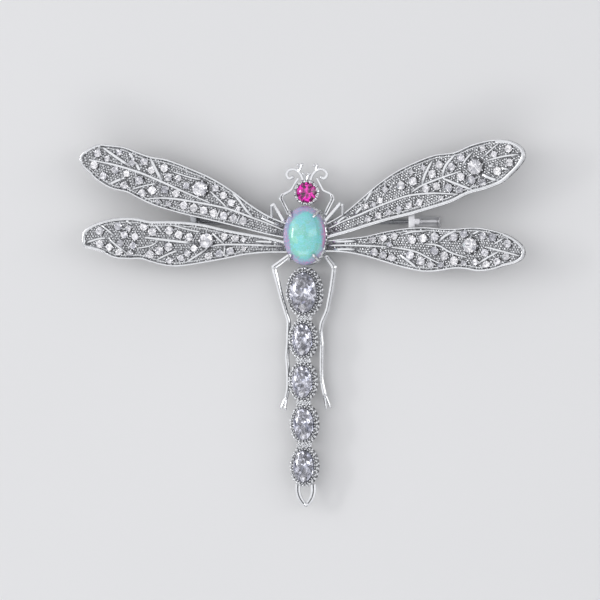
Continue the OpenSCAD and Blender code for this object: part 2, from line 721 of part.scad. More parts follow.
// Bar that fills the notch between a collet's wall and the one before
module joint_bar(i) {
    seat_space = collet_edge * 0.45;
    start = collet_y(i) + stone_size(i).y / 2 + gap + seat_space;
    end = collet_y(i - 1) - stone_size(i - 1).y / 2 - gap - seat_space;
    middle = (collet_at(i).x + collet_at(i - 1).x) / 2;
    width = stone_w * 0.72;
    translate([middle - width / 2, start, collet_h / 2])
        cube([width, end - start, collet_h / 2]);
}
module tail_loop() {
    r = tail_d / 2;
    top = collet_y(last_collet) - collet(last_collet).y;
    x = stone_w * 0.39;
    z = collet_h - tail_d;
    end = top - tail_reach + r;
    p = smooth([
        [-x, top + bead_d, z], [-x, top - tail_reach * 0.25, z], [-x * 0.66, top - tail_reach * 0.62, z],
        [0, end, z],
        [x * 0.66, top - tail_reach * 0.62, z], [x, top - tail_reach * 0.25, z], [x, top + bead_d, z]
    ], 3);
    translate([collet_at(last_collet).x + stone_w * 0.06, 0, 0]) {
        tube(p, [for (q = p) r]);
        translate([0, end, z]) sphere(d = tail_d * 1.35, $fn = 24);
    }
}
module abdomen_frame() {
    translate([0, -basket.y, abdomen_z]) rotate([abdomen_slope, 0, 0]) children();
}
module abdomen_setting() {
    color(METAL) abdomen_frame() {
        for (i = [0 : last_collet]) {
            translate(collet_at(i)) collet_body(i);
            if (i > 0) joint_bar(i);
        }
        tail_loop();
    }
}
module abdomen_stone(i) {
    color(CLEAR) abdomen_frame()
        translate(collet_at(i) + [0, 0, collet_h]) cut_stone(stone_size(i));
}

// Pin, hinge and catch

eye_r = barrel_r - gap;
ear_y = stem_d / 2 + running;
catch_strap_x = catch_x - strap_w / 4;
// Height of a strap's top under the wings' backs, at its distance from the middle
function strap_top(x) = wing_z - gap + (x - strap_w / 2 - hind_root.x) * tan(wing_rise);
module strap(x) {
    translate([x - strap_w / 2, pin_y - strap_len / 2, strap_top(abs(x)) - strap_t])
        cube([strap_w, strap_len, strap_t]);
}
module across(x, y, length) {
    translate([x, y, pin_z]) rotate([-90, 0, 0]) cylinder(h = length, r = $r, $fn = 32);
}
module hinge_body() {
    color(METAL) difference() {
        union() {
            strap(-hinge_x);
            for (y = [pin_y - ear_y - ear_t, pin_y + ear_y]) {
                across(-hinge_x, y, ear_t, $r = barrel_r);
                translate([-hinge_x - strap_w / 2, y, pin_z])
                    cube([strap_w, ear_t, strap_top(hinge_x) - strap_t / 2 - pin_z]);
            }
        }
        across(-hinge_x, pin_y - strap_len, 2 * strap_len, $r = rivet_d / 2 + running / 2);
    }
}
module hinge_rivet() {
    head_t = ear_t * 0.6;
    half = ear_y + ear_t + running;
    color(METAL) {
        across(-hinge_x, pin_y - half, 2 * half, $r = rivet_d / 2);
        across(-hinge_x, pin_y - half - head_t, head_t, $r = rivet_d * 0.8);
        across(-hinge_x, pin_y + half, head_t, $r = rivet_d * 0.8);
    }
}
module pin_stem() {
    // Places along the stem from its eye: where it narrows, where the point's shaft starts and ends, its end
    narrows = catch_x - gap - pin_taper + hinge_x;
    shaft = narrows + pin_taper;
    ends = catch_x + barrel_len + running + hinge_x;
    shaft_ends = ends - point_d;
    color(METAL) difference() {
        union() {
            across(-hinge_x, pin_y - stem_d / 2, stem_d, $r = eye_r);
            translate([-hinge_x, pin_y, pin_z]) rotate([0, 90, 0]) {
                cylinder(h = narrows, d = stem_d, $fn = 32);
                translate([0, 0, narrows]) cylinder(h = pin_taper, d1 = stem_d, d2 = point_d, $fn = 32);
                translate([0, 0, shaft]) cylinder(h = shaft_ends - shaft, d = point_d, $fn = 32);
                translate([0, 0, shaft_ends]) cylinder(h = point_d, d1 = point_d, d2 = point_d / 4, $fn = 32);
            }
        }
        across(-hinge_x, pin_y - stem_d, 2 * stem_d, $r = rivet_d / 2 + running);
    }
}
// Tube along the pin with a slot toward the lying plane that lets the pin in
module slotted(x, length, outer, inner) {
    translate([x, pin_y, pin_z]) difference() {
        rotate([0, 90, 0]) cylinder(h = length, r = outer, $fn = 48);
        translate([-gap, 0, 0]) rotate([0, 90, 0]) cylinder(h = length + 2 * gap, r = inner, $fn = 48);
        translate([-gap, -sleeve_in, -2 * outer]) cube([length + 2 * gap, 2 * sleeve_in, 2 * outer]);
    }
}
module catch_body() {
    post_t = stem_d;
    post_z = pin_z + (barrel_in + barrel_r) / 2;
    color(METAL) {
        slotted(catch_x, barrel_len, barrel_r, barrel_in);
        strap(catch_strap_x);
        translate([catch_x, pin_y - post_t / 2, post_z])
            cube([strap_w, post_t, strap_top(catch_strap_x) - strap_t / 2 - post_z]);
    }
}
module catch_sleeve() {
    flange_t = 1.5 * tube_wall;
    flange_x = catch_x + barrel_len + running;
    color(METAL) {
        slotted(catch_x, barrel_len + running + gap, sleeve_out, sleeve_in);
        slotted(flange_x, flange_t, barrel_r - gap, sleeve_in);
        translate([flange_x, pin_y - barrel_r - lever_reach, pin_z - tube_wall])
            cube([flange_t, barrel_r + lever_reach - (sleeve_in + sleeve_out) / 2, 2 * tube_wall]);
    }
}

wing(FORE_LEFT);  // wing_fore_left
wing(FORE_RIGHT);  // wing_fore_right
wing(HIND_LEFT);  // wing_hind_left
wing(HIND_RIGHT);  // wing_hind_right
pave(FORE_LEFT);  // pave_fore_left
pave(FORE_RIGHT);  // pave_fore_right
pave(HIND_LEFT);  // pave_hind_left
pave(HIND_RIGHT);  // pave_hind_right
accent(FORE_LEFT);  // accent_fore_left
accent(FORE_RIGHT);  // accent_fore_right
accent(HIND_LEFT);  // accent_hind_left
accent(HIND_RIGHT);  // accent_hind_right
thorax_setting();
opal();
head_setting();
head_stone();
front_leg(-1);  // leg_front_left
front_leg(1);  // leg_front_right
mid_leg(-1);  // leg_mid_left
mid_leg(1);  // leg_mid_right
hind_leg(-1);  // leg_hind_left
hind_leg(1);  // leg_hind_right
abdomen_setting();
abdomen_stone(0);  // abdomen_stone_1
abdomen_stone(1);  // abdomen_stone_2
abdomen_stone(2);  // abdomen_stone_3
abdomen_stone(3);  // abdomen_stone_4
abdomen_stone(4);  // abdomen_stone_5
hinge_body();
hinge_rivet();
pin_stem();
catch_body();
catch_sleeve();
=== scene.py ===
from math import atan2, cos, hypot, pi, radians, sin, sqrt

import bpy
from mathutils import Matrix, Vector
from mathutils.kdtree import KDTree


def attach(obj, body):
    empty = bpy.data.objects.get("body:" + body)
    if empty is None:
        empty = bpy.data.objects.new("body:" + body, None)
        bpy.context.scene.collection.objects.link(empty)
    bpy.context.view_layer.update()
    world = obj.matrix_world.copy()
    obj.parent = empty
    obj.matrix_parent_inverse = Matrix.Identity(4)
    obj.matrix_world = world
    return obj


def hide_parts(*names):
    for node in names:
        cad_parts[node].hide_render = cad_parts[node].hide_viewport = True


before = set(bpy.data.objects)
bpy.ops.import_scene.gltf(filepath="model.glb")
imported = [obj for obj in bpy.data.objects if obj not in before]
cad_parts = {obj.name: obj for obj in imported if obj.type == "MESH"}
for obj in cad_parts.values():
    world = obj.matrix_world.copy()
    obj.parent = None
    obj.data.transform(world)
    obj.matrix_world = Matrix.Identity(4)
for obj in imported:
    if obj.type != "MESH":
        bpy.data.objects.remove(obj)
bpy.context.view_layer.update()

bl_info = {
    "name": "Insect Brooch",
    "version": (1, 0, 0),
    "blender": (4, 5, 0),
    "location": "3D View > Sidebar > Brooch",
    "description": "Dresses the brooch's frame in cast and polished metal, cut stones and a cabochon",
    "category": "Object",
}

# One millimetre in the frame's metres. Pieces are drawn in millimetres and set down in metres.
MM = 0.001
# Points nearer than this, in millimetres, are merged
MERGE = 0.002

# Sizes of the frame's pieces in millimetres, as the part's source has them
GAP = 0.05
BASKET = (3.25, 4.45)
BASKET_WALL = 0.5
BASKET_Z = (1.55, 4.55)
GIRDLE_Z = 4.6
OPAL_H = 3.0
CLAW_D = 0.6
CLAWS = (49, 129, 231, 309)
HEAD_R = 1.97
HEAD_FOOT = 1.55
HEAD_Y = 6.47
HEAD_Z = 0.95
HEAD_TOP = 3.35
EYE_D = 3.0
FEELER_D = 0.55
FEELER_REACH = 1.8
PRONG_R = 0.18
COLLET_H = 3.1
COLLET_OVERLAP = 0.09
COLLET_FOOT = 0.72
STONE_SIZES = [(4.0, 6.0)] + [(3.0, 4.8)] * 4
COLLET_EDGES = [0.88] + [0.77] * 4
COLLET_BEND = [-0.27, -0.51, -0.57, -0.42, -0.45]
ABDOMEN_SLOPE = radians(2)
TAIL_D = 0.7
TAIL_REACH = 2.9
LEG_D = 0.75
FOOT_D = 0.45

# Places of the legs and of the head's wires, as the part's source has them, left before right. Front feet
# are in radii of the eye stone's collet, knees in shares along and aside of the way from a leg's start to
# its foot, middle feet in percent of the fore wings, hind legs in percent of the way to the fourth collet
# and of a small collet's half width, and the head's wires in percent of the feelers' reach.
FRONT_FOOT = [(0.69, 1.08), (0.77, 1.08)]
FRONT_KNEES = [
    [(0.36, 0.32), (0.46, 0.31), (0.64, 0.11), (0.85, 0.06)],
    [(0.34, 0.29), (0.44, 0.3), (0.53, 0.25), (0.64, 0.09), (0.8, 0.05)],
]
MID_FOOT = [(8.5, 8), (10.8, 9.5)]
MID_KNEES = [[(1.02, 1.08), (1.2, 0.91)], [(1.09, 0.6), (1.2, 0.48)]]
HIND_SHAPES = [
    [
        (1, 198), (4, 194), (25, 145), (41, 103), (57, 110), (67, 117), (77, 110), (90, 111), (97, 125),
        (103, 140),
    ],
    [
        (1, 200), (5, 198), (18, 180), (33, 152), (42, 115), (48, 106), (58, 114), (73, 111), (84, 110),
        (95, 131), (102, 148),
    ],
]
FEELER_CURL = [
    (30, -20), (49, 36), (81, 72), (119, 85), (154, 74), (172, 46), (164, 20), (146, 8), (122, 18),
]
HEAD_PRONGS = [
    [(-67, 64), (-56, 88), (-75, 121)], [(-67, 64), (-56, 88), (-39, 125)],
    [(2, -12), (-10, 14), (-28, 46)], [(2, -12), (8, 14), (19, 44)],
    [(83, 72), (81, 92), (62, 119)], [(83, 72), (81, 92), (93, 119)],
]
WING_Z = 2.9
WING_RISE = radians(4)
WING_FLOOR = 0.7
WING_RELIEF = 0.4
VEIN_W = 0.26
PAVE_D = 1.2
ACCENT_D = 2.2
TIP_SHARE = 0.995

# Sizes that the wings' source leaves open: heights of the rims, the tip's rim in percent of a plain vein,
# how deep a raised line stands in the floor and by what share it sinks at its ends, the fine line's distance
# from the rim, the drilled seats in shares of their stones, and the grains' rows in shares of their pitch
RIM_H = 1.1
TIP_RIM_H = 1.12
TIP_RIM = 150
RIDGE_FOOT = 0.06
TAPER = 0.45
LINE_SPACE = 0.28
SEAT_SHARE = 0.4
ACCENT_SEAT_SHARE = 0.42
ROW_SHARE = 0.866

# Points that a smooth curve takes for each point of its table
STEPS = 4
# Points of the outline before and after its tip that the tip's rim covers
TIP_SPAN = (9, 14)

# Each wing's table has its edges as (place along, back edge, front edge), its veins as (width in percent of a
# plain vein, its points along and across), and its rows of stones as (along, across, along, across, count,
# size in percent of the usual stone). Places are in percent of the wing's length and width.
FORE_LEFT_EDGES = [
    (0, -26, 6), (10, -30, 10), (20, -32, 22), (30, -34, 39), (40, -37, 51), (50, -40, 57), (62, -40, 61),
    (70, -35, 57), (76, -30, 58), (83, -32, 60), (90, -25, 55), (95, -14, 49), (99, -5, 33), (101, 7, 20),
]
FORE_LEFT_VEINS = [
    (130, [(2, -10), (10, -6), (17, -4), (27, -1), (33, -2), (42, -6), (52, -12), (60, -20), (67, -32)]),
    (130, [(5, -3), (9, -1), (13, 1)]),
    (150, [(17, -3), (21, 8), (25, 22), (29, 33)]),
    (110, [(29, -1), (33, 9), (39, 23)]),
    (140, [(38, 0), (50, 6), (62, 13), (73, 18), (85, 18), (97, 13)]),
    (90, [(42, 42), (50, 39), (58, 40)]),
    (190, [(62, 15), (66, 34), (70, 53)]),
    (190, [(73, 22), (76, 36), (80, 52)]),
    (170, [(78, 25), (84, 33), (92, 45)]),
    (90, [(62, 10), (68, -3), (74, -20)]),
    (160, [(79, -2), (82, -13), (85, -25)]),
    (80, [(23, -6), (23.5, -26)]),
    (80, [(28, -5), (28.5, -27)]),
    (80, [(32.5, -6), (33, -29)]),
]
FORE_LEFT_ROWS = [
    (28.5, 13, 37.3, 33, 3, 90), (20.7, -16, 49, -21, 7, 100), (50.5, 20, 55, 30, 2, 84),
    (59.5, 26, 62.5, 42, 2, 100), (68, 30, 72.3, 43, 2, 95), (54, -2, 59.5, -1, 2, 96),
    (65, -10, 69, -22, 2, 100), (72, 2, 78, -18, 2, 105), (56, -28, 61, -30, 2, 76),
    (77.4, 33, 78.5, 8, 2, 80), (94, 31, 94, 5, 2, 100), (84, 8, 88.5, -11, 2, 95),
    (84.5, 46, 89, 26, 2, 76), (24.6, 6, 24.6, 6, 1, 60),
]
FORE_RIGHT_EDGES = [
    (0, -26, 3), (10, -30, 10), (20, -32, 26), (30, -35, 43), (40, -40, 55), (50, -43, 60), (60, -45, 60),
    (69, -41, 51), (77, -44, 53), (85, -43, 50), (90, -35, 44), (95, -24, 33), (99, -9, 12),
]
FORE_RIGHT_VEINS = [
    (120, [(2, -8), (10, -4), (18, -3), (30, 0), (42, -1), (52, -12), (59, -24), (65, -36)]),
    (130, [(6, -4), (9, 1), (12, 4)]),
    (150, [(16, 1), (20, 10), (24, 24), (27, 34)]),
    (100, [(27, 4), (32, 20), (37, 31)]),
    (120, [(44, 3), (50, 9), (60, 10), (69, 9)]),
    (160, [(50, 11), (53, 29), (58, 50)]),
    (160, [(60, 11), (63, 30), (69, 46)]),
    (120, [(70.5, 18), (73, 28), (77, 38)]),
    (150, [(60, 8), (65, -12), (71, -35)]),
    (170, [(78, -14), (81, -27), (84, -36)]),
    (130, [(81.5, 1), (86, -11), (90, -22)]),
    (110, [(82, 11), (90, 7), (97, 0)]),
    (90, [(81, 21), (85, 28), (90, 37)]),
]
FORE_RIGHT_ROWS = [
    (22, 9, 25.6, 7, 2, 68), (29, 10, 33, 28, 2, 76), (40.5, 24, 46.4, 24, 2, 108),
    (21, -18, 46, -22, 6, 84), (56, 24, 60.5, 37, 2, 98), (65.5, 24, 71, 35, 2, 100),
    (51, 0, 56, -3, 2, 98), (61, -15, 65.5, -27, 2, 104), (68, -2, 72.3, -16, 2, 104),
    (76.7, -30, 85, -17, 2, 108), (93.2, 19, 91.5, -9, 2, 98), (86, 18, 82, 38, 2, 80),
    (53, 43, 47, 43, 2, 70), (56, -30, 53, -24, 1, 70),
]
HIND_LEFT_EDGES = [
    (0, -34, -8), (10, -34, 3), (20, -38, 11), (30, -47, 20), (40, -55, 31), (50, -62, 37), (58, -62, 39),
    (66, -53, 39), (71, -46, 44), (77, -46, 47), (84, -43, 45), (90, -30, 39), (95, -23, 30), (99, -16, 14),
]
HIND_LEFT_VEINS = [
    (120, [(2, -19), (12, -17), (22, -15), (32, -15), (37, -20), (43, -37), (49, -54)]),
    (140, [(5, -11), (10, -9), (15, -8)]),
    (120, [(30.5, -13), (33, -3), (36, 10)]),
    (100, [(40, 12), (46, 17), (55, 28)]),
    (150, [(44, -12), (55, -6), (69, 2)]),
    (130, [(61, 14), (64, 31)]),
    (120, [(75, 30), (78, 40)]),
    (110, [(84, 7), (87, 19), (90, 29)]),
    (130, [(86, 1), (91, 0), (97, -8)]),
    (120, [(51, -24), (57, -34), (63, -47)]),
    (100, [(68, -30), (70, -42)]),
    (120, [(78, -31), (82, -18), (86, -2)]),
    (100, [(30, -17), (30.5, -40)]),
    (90, [(62, -4), (66, -16), (73, -22)]),
]
HIND_LEFT_ROWS = [
    (25, -1, 30.3, 3, 2, 94), (47.4, 2, 52.4, 8, 2, 98), (57, 17, 65.3, 14, 2, 104),
    (69.5, 26, 82, 27, 2, 100), (77, 23, 77, 23, 1, 76), (91, 17, 91, -12, 2, 100),
    (73.7, 4, 79, 8, 2, 90), (74.7, -16, 81, -10, 2, 88), (27.5, -30, 37.8, -41, 3, 104),
    (45, -23, 51.5, -44, 3, 84), (57.5, -19, 66.5, -36, 3, 108), (57, -50, 57, -50, 1, 92),
    (76.3, -34, 86.3, -19, 2, 88), (81.6, -31, 81.6, -31, 1, 88), (21, -4, 21, -24, 2, 60),
]
HIND_RIGHT_EDGES = [
    (0, -32, -7), (10, -31, 1), (20, -36, 9), (30, -46, 22), (40, -56, 32), (50, -62, 37), (58, -58, 36),
    (65, -51, 38), (71, -50, 42), (77, -53, 43), (84, -48, 39), (90, -37, 32), (95, -30, 21), (99, -16, 4),
]
HIND_RIGHT_VEINS = [
    (120, [(2, -17), (12, -14), (26, -12), (37, -13), (46, -19), (54, -34), (62, -50)]),
    (140, [(4, -8), (10, -6), (16, -3)]),
    (140, [(5, -25), (10, -23), (16, -22)]),
    (100, [(38, 17), (44, 25), (51, 29)]),
    (150, [(38, -28), (43, -42), (47, -55)]),
    (110, [(50, 0), (57, -2), (63, -15), (71, -24)]),
    (150, [(57, 8), (60, 21), (65, 34)]),
    (110, [(73, 27), (77, 37)]),
    (120, [(80, 2), (87, -4), (97, -13)]),
    (100, [(84, 8), (89, 24)]),
    (120, [(75, -43), (80, -26), (87, -6)]),
    (100, [(84, -16), (87, -24), (90, -31)]),
]
HIND_RIGHT_ROWS = [
    (24, 2, 34.5, 13, 3, 90), (32.3, -6, 32.3, -6, 1, 70), (25, -26, 34, -36, 3, 100),
    (43.5, 7, 49, 12, 2, 104), (43, -27, 48.5, -38, 2, 106), (54.5, 17, 64, 19, 2, 108),
    (69, 27, 78.5, 26, 2, 94), (83.4, 24, 91, 12, 2, 104), (80, -11, 90.5, -17, 2, 96),
    (86.3, -29, 81, -37, 2, 96), (75.5, -33, 70, -38, 2, 76), (55, -14, 65, -33, 3, 108),
    (53.5, -45, 58.5, -45, 2, 88),
]


class Wing:
    """One wing's table, with its own frame: +X from root to tip, +Y toward the front edge."""

    def __init__(self, name, side, root, angle, reach, width, rims, edges, veins, rows, accent):
        self.name = name
        self.side = side
        self.root = root
        self.angle = radians(angle)
        self.length = (reach - root[0]) / (cos(self.angle) * cos(WING_RISE) * TIP_SHARE)
        self.width = width
        self.rims = rims
        self.edges = edges
        self.veins = veins
        self.rows = rows
        self.accent = self.point(accent)
        self.front = smooth([self.point((row[0], row[2])) for row in edges])
        self.back = smooth([self.point((row[0], row[1])) for row in edges])

    def point(self, share):
        return (share[0] * self.length / 100, share[1] * self.width / 100)

    def matrix(self):
        turned = Matrix.Rotation(self.angle, 4, "Z") @ Matrix.Rotation(-WING_RISE, 4, "Y")
        placed = Matrix.Translation((self.root[0], self.root[1], WING_Z)) @ turned
        return Matrix.Diagonal((self.side, 1, 1, 1)) @ placed

    def outside_basket(self, point):
        """The point moved along the wing until it is clear of the basket."""
        x = point[0]
        while True:
            a = self.root[0] + x * cos(self.angle) - point[1] * sin(self.angle)
            b = self.root[1] + x * sin(self.angle) + point[1] * cos(self.angle)
            if hypot(a / (BASKET[0] + GAP), b / (BASKET[1] + GAP)) >= 1:
                return (x, point[1])
            x += 0.03

    def outline(self):
        """Closed outline from the root along the front edge to the tip and back."""
        return [self.outside_basket(p) for p in smooth(
            [self.point((row[0], row[2])) for row in self.edges]
            + [self.point((row[0], row[1])) for row in reversed(self.edges)]
        )]

    def stones(self):
        """Places and diameters of the small stones."""
        found = []
        for a, b, c, d, count, share in self.rows:
            for k in range(count):
                t = k / (count - 1) if count > 1 else 0
                x, y = self.point((a + (c - a) * t, b + (d - b) * t))
                found.append((x, y, share * PAVE_D / 100))
        return found


# Lines of points


def blend(a, b, c, d, t):
    return tuple(
        (2 * q + (r - p) * t + (2 * p - 5 * q + 4 * r - s) * t * t + (3 * q - p - 3 * r + s) * t * t * t) / 2
        for p, q, r, s in zip(a, b, c, d)
    )


def smooth(points, steps=STEPS):
    """Smooth curve through points."""
    last = len(points) - 1
    found = []
    for i in range(last):
        around = (points[max(i - 1, 0)], points[i], points[i + 1], points[min(i + 2, last)])
        found += [blend(*around, k / steps) for k in range(steps)]
    return found + [tuple(points[last])]


def shifted(points, distance):
    """Points moved to the right of their direction."""
    moved = []
    for i, p in enumerate(points):
        a = points[max(i - 1, 0)]
        b = points[min(i + 1, len(points) - 1)]
        d = hypot(b[0] - a[0], b[1] - a[1])
        moved.append((p[0] + (b[1] - a[1]) / d * distance, p[1] - (b[0] - a[0]) / d * distance))
    return moved


def raised(points, z):
    return [(p[0], p[1], z) for p in points]


def oval(half, n=72):
    return [(half[0] * cos(2 * pi * k / n), half[1] * sin(2 * pi * k / n)) for k in range(n)]


def grown(half, width):
    """Half sizes of an oval made wider all round."""
    return (half[0] + width, half[1] + width)


def turned(r, a, x=0, y=0):
    """Point at a distance and direction from another."""
    return (x + r * cos(a), y + r * sin(a))


def around_oval(half, count, turn=0.5):
    """Evenly spaced places on an oval as (x, y, direction outward)."""
    fine = oval(half, 720)
    steps = [0.0]
    for a, b in zip(fine, fine[1:] + fine[:1]):
        steps.append(steps[-1] + hypot(b[0] - a[0], b[1] - a[1]))
    found = []
    i = 0
    for k in range(count):
        target = steps[-1] * ((k + turn) % count) / count
        while steps[i + 1] < target:
            i += 1
        x, y = fine[i]
        found.append((x, y, atan2(y / half[1] ** 2, x / half[0] ** 2)))
    return found


def length_of(half):
    return pi * (3 * sum(half) - sqrt((3 * half[0] + half[1]) * (half[0] + 3 * half[1])))


# Modelling


def ready():
    """Leaves nothing selected and no edit mode open."""
    if bpy.context.object and bpy.context.object.mode != "OBJECT":
        bpy.ops.object.mode_set(mode="OBJECT")
    bpy.ops.object.select_all(action="DESELECT")


def choose(*pieces):
    ready()
    for piece in pieces:
        piece.select_set(True)
    bpy.context.view_layer.objects.active = pieces[0]


def applied(*pieces):
    """Puts the place, turn and size of pieces into their meshes."""
    choose(*pieces)
    bpy.ops.object.transform_apply(location=True, rotation=True, scale=True)
    return pieces[0]


def removed(piece):
    choose(piece)
    bpy.ops.object.delete()


def edited(piece, *steps):
    """Runs edit mode steps, each on the whole mesh."""
    choose(piece)
    bpy.ops.object.mode_set(mode="EDIT")
    for step, settings in steps:
        bpy.ops.mesh.select_all(action="SELECT")
        step(**settings)
    bpy.ops.mesh.select_all(action="DESELECT")
    bpy.ops.object.mode_set(mode="OBJECT")


def merge(threshold):
    """Steps that merge doubles and turn the faces outward."""
    return (
        (bpy.ops.mesh.remove_doubles, {"threshold": threshold}),
        (bpy.ops.mesh.normals_make_consistent, {"inside": False}),
    )


def cut(place, normal):
    """Step that cuts away and closes what lies past a plane."""
    plane = {"plane_co": place, "plane_no": normal}
    return (bpy.ops.mesh.bisect, {**plane, "use_fill": True, "clear_outer": True})


def drawn(lines, closed=False, flat=False, radii=None):
    """Curve through one or more lists of points."""
    ready()
    bpy.ops.curve.primitive_bezier_curve_add()
    curve = bpy.context.object
    curve.data.splines.clear()
    for k, points in enumerate(lines):
        run = curve.data.splines.new("POLY")
        run.points.add(len(points) - 1)
        for i, p in enumerate(points):
            run.points[i].co = (p[0], p[1], p[2] if len(p) > 2 else 0, 1)
            run.points[i].radius = radii[k][i] if radii else 1
        run.use_cyclic_u = closed
    curve.data.dimensions = "2D" if flat else "3D"
    return curve


def meshed(curve):
    choose(curve)
    bpy.ops.object.convert(target="MESH")
    return bpy.context.object


def wire(lines, radii, sides=8):
    """Round wires with a radius for each point."""
    curve = drawn(lines, radii=radii)
    curve.data.bevel_depth = 1
    curve.data.bevel_resolution = (sides - 4) // 2
    curve.data.use_fill_caps = True
    return meshed(curve)


def moulding(lines, section, closed=False, radii=None):
    """A section swept along lines that lie flat. Its x goes to their right and its y up."""
    profile = drawn([section], closed=True, flat=True)
    curve = drawn(lines, closed, radii=radii)
    curve.data.bevel_mode = "OBJECT"
    curve.data.bevel_object = profile
    curve.data.twist_mode = "Z_UP"
    curve.data.use_fill_caps = not closed
    piece = meshed(curve)
    removed(profile)
    return piece


def plate(outline, holes, top, edge=0.05):
    """Flat plate with holes and softened edges."""
    curve = drawn([outline] + holes, closed=True, flat=True)
    curve.data.fill_mode = "BOTH"
    curve.data.extrude = top / 2 - edge
    curve.data.bevel_depth = edge
    curve.data.offset = -edge
    curve.data.bevel_resolution = 1
    curve.location = (0, 0, top / 2)
    return meshed(curve)


def joined(name, pieces):
    choose(*pieces)
    if len(pieces) > 1:
        bpy.ops.object.join()
    piece = bpy.context.object
    piece.name = name
    piece.data.name = name
    return piece


def bead(fineness=2):
    """Round bead of radius 1, a seed for copies."""
    ready()
    bpy.ops.mesh.primitive_ico_sphere_add(subdivisions=fineness, radius=1)
    bpy.ops.object.shade_smooth()
    return bpy.context.object


def grain(fineness=2):
    """Flattened bead of radius 1, a seed for copies."""
    seed = bead(fineness)
    seed.scale = (1, 1, 0.66)
    return applied(seed)


def copies(seed, spots, keep_seed=False):
    """Copies of a seed on spots given as (x, y, z, size, turn), realized as one mesh."""
    cloud = meshed(drawn([[spot[:3] for spot in spots]]))
    tree = bpy.data.node_groups.new("copies", "GeometryNodeTree")
    for way in ("INPUT", "OUTPUT"):
        tree.interface.new_socket("Geometry", in_out=way, socket_type="NodeSocketGeometry")
    nodes = Nodes(tree)
    read = []
    for column, name in enumerate(("size", "turn"), 3):
        values = cloud.data.attributes.new(name, "FLOAT", "POINT")
        values.data.foreach_set("value", [spot[column] for spot in spots])
        read.append(nodes.node("GeometryNodeInputNamedAttribute", {}, {"Name": name}, "Attribute"))
    placed = nodes.node("GeometryNodeInstanceOnPoints", {}, {
        "Points": nodes.node("NodeGroupInput", {}, {}),
        "Instance": nodes.node("GeometryNodeObjectInfo", {}, {"Object": seed}, "Geometry"),
        "Scale": read[0],
        "Rotation": nodes.node("ShaderNodeCombineXYZ", {}, {"Z": read[1]}),
    })
    real = nodes.node("GeometryNodeRealizeInstances", {}, {0: placed})
    nodes.feed(tree.nodes.new("NodeGroupOutput").inputs[0], real)
    modifier = cloud.modifiers.new("copies", "NODES")
    modifier.node_group = tree
    choose(cloud)
    bpy.ops.object.modifier_apply(modifier=modifier.name)
    bpy.data.node_groups.remove(tree)
    if not keep_seed:
        removed(seed)
    return cloud


def faced(piece, finish):
    """Gives the whole mesh one finish."""
    piece.data.materials.clear()
    piece.data.materials.append(finish)
    return piece


def fit(piece, slot, body, *nodes):
    """Makes a piece ride on a body in the place of CAD nodes."""
    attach(piece, body)
    if nodes:
        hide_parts(*nodes)


def finished(name, parts, slot, node, own=None, smooth_angle=38):
    """Joins parts drawn in millimetres, sets them down in their own frame and fits them in a node's place."""
    piece = applied(joined(name, parts))
    piece.matrix_world = Matrix.Scale(MM, 4) @ (own or Matrix())
    edited(applied(piece), *merge(MERGE * MM))
    if smooth_angle:
        bpy.ops.object.shade_smooth_by_angle(angle=radians(smooth_angle))
    fit(piece, slot, "frame", node)


def brilliant():
    """Round brilliant of radius 1 cut from a cylinder: table, mains, stars, girdle facets and pavilion."""
    ready()
    bpy.ops.mesh.primitive_cylinder_add(vertices=32, radius=1, depth=1.32, location=(0, 0, -0.34))
    stone = bpy.context.object
    facets = []
    for k in range(8):
        turn = pi * k / 4
        facets += [(1, 0.02, 34.5, turn), (0.53, 0.32, 22.5, turn + pi / 8), (1, -0.02, -41, turn)]
    for k in range(16):
        turn = pi * (k + 0.5) / 8
        facets += [(0.987, 0.02, 42, turn), (0.987, -0.02, -43, turn)]
    cuts = []
    for reach, z, slope, turn in facets:
        tilt = radians(abs(slope))
        normal = (*turned(sin(tilt), turn), cos(tilt) * (1 if slope > 0 else -1))
        cuts.append(cut((*turned(reach, turn), z), normal))
    edited(stone, *cuts, *merge(0.004))
    return stone


def copied(seed, scale, place):
    """A copy of a seed with its own mesh."""
    choose(seed)
    bpy.ops.object.duplicate()
    piece = bpy.context.object
    piece.scale = scale
    piece.location = place
    return applied(piece)


def from_frame(name, node, finish, edge=0.04):
    """A merged copy of a CAD node with softened edges."""
    choose(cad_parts[node])
    bpy.ops.object.duplicate()
    piece = bpy.context.object
    piece.parent = None
    piece.name = name
    piece.data = piece.data.copy()
    doubles, outward = merge(MERGE * MM)
    edited(piece, doubles, (bpy.ops.mesh.dissolve_limited, {"angle_limit": radians(2)}), outward)
    bevel = piece.modifiers.new("edge", "BEVEL")
    bevel.width = edge * MM
    bevel.segments = 2
    bevel.limit_method = "ANGLE"
    bevel.angle_limit = radians(35)
    bpy.ops.object.modifier_apply(modifier=bevel.name)
    bpy.ops.object.shade_smooth_by_angle(angle=radians(30))
    return faced(piece, finish)


# Finishes


class Reading:
    """One output of a node. Arithmetic on it adds Math nodes."""

    def __init__(self, nodes, socket):
        self.nodes = nodes
        self.socket = socket

    def math(self, operation, *values):
        return self.nodes.node("ShaderNodeMath", {"operation": operation}, dict(enumerate(values)))

    def __add__(self, other):
        return self.math("ADD", self, other)

    def __sub__(self, other):
        return self.math("SUBTRACT", self, other)

    def __rsub__(self, other):
        return self.math("SUBTRACT", other, self)

    def __mul__(self, other):
        return self.math("MULTIPLY", self, other)

    def __pow__(self, other):
        return self.math("POWER", self, other)


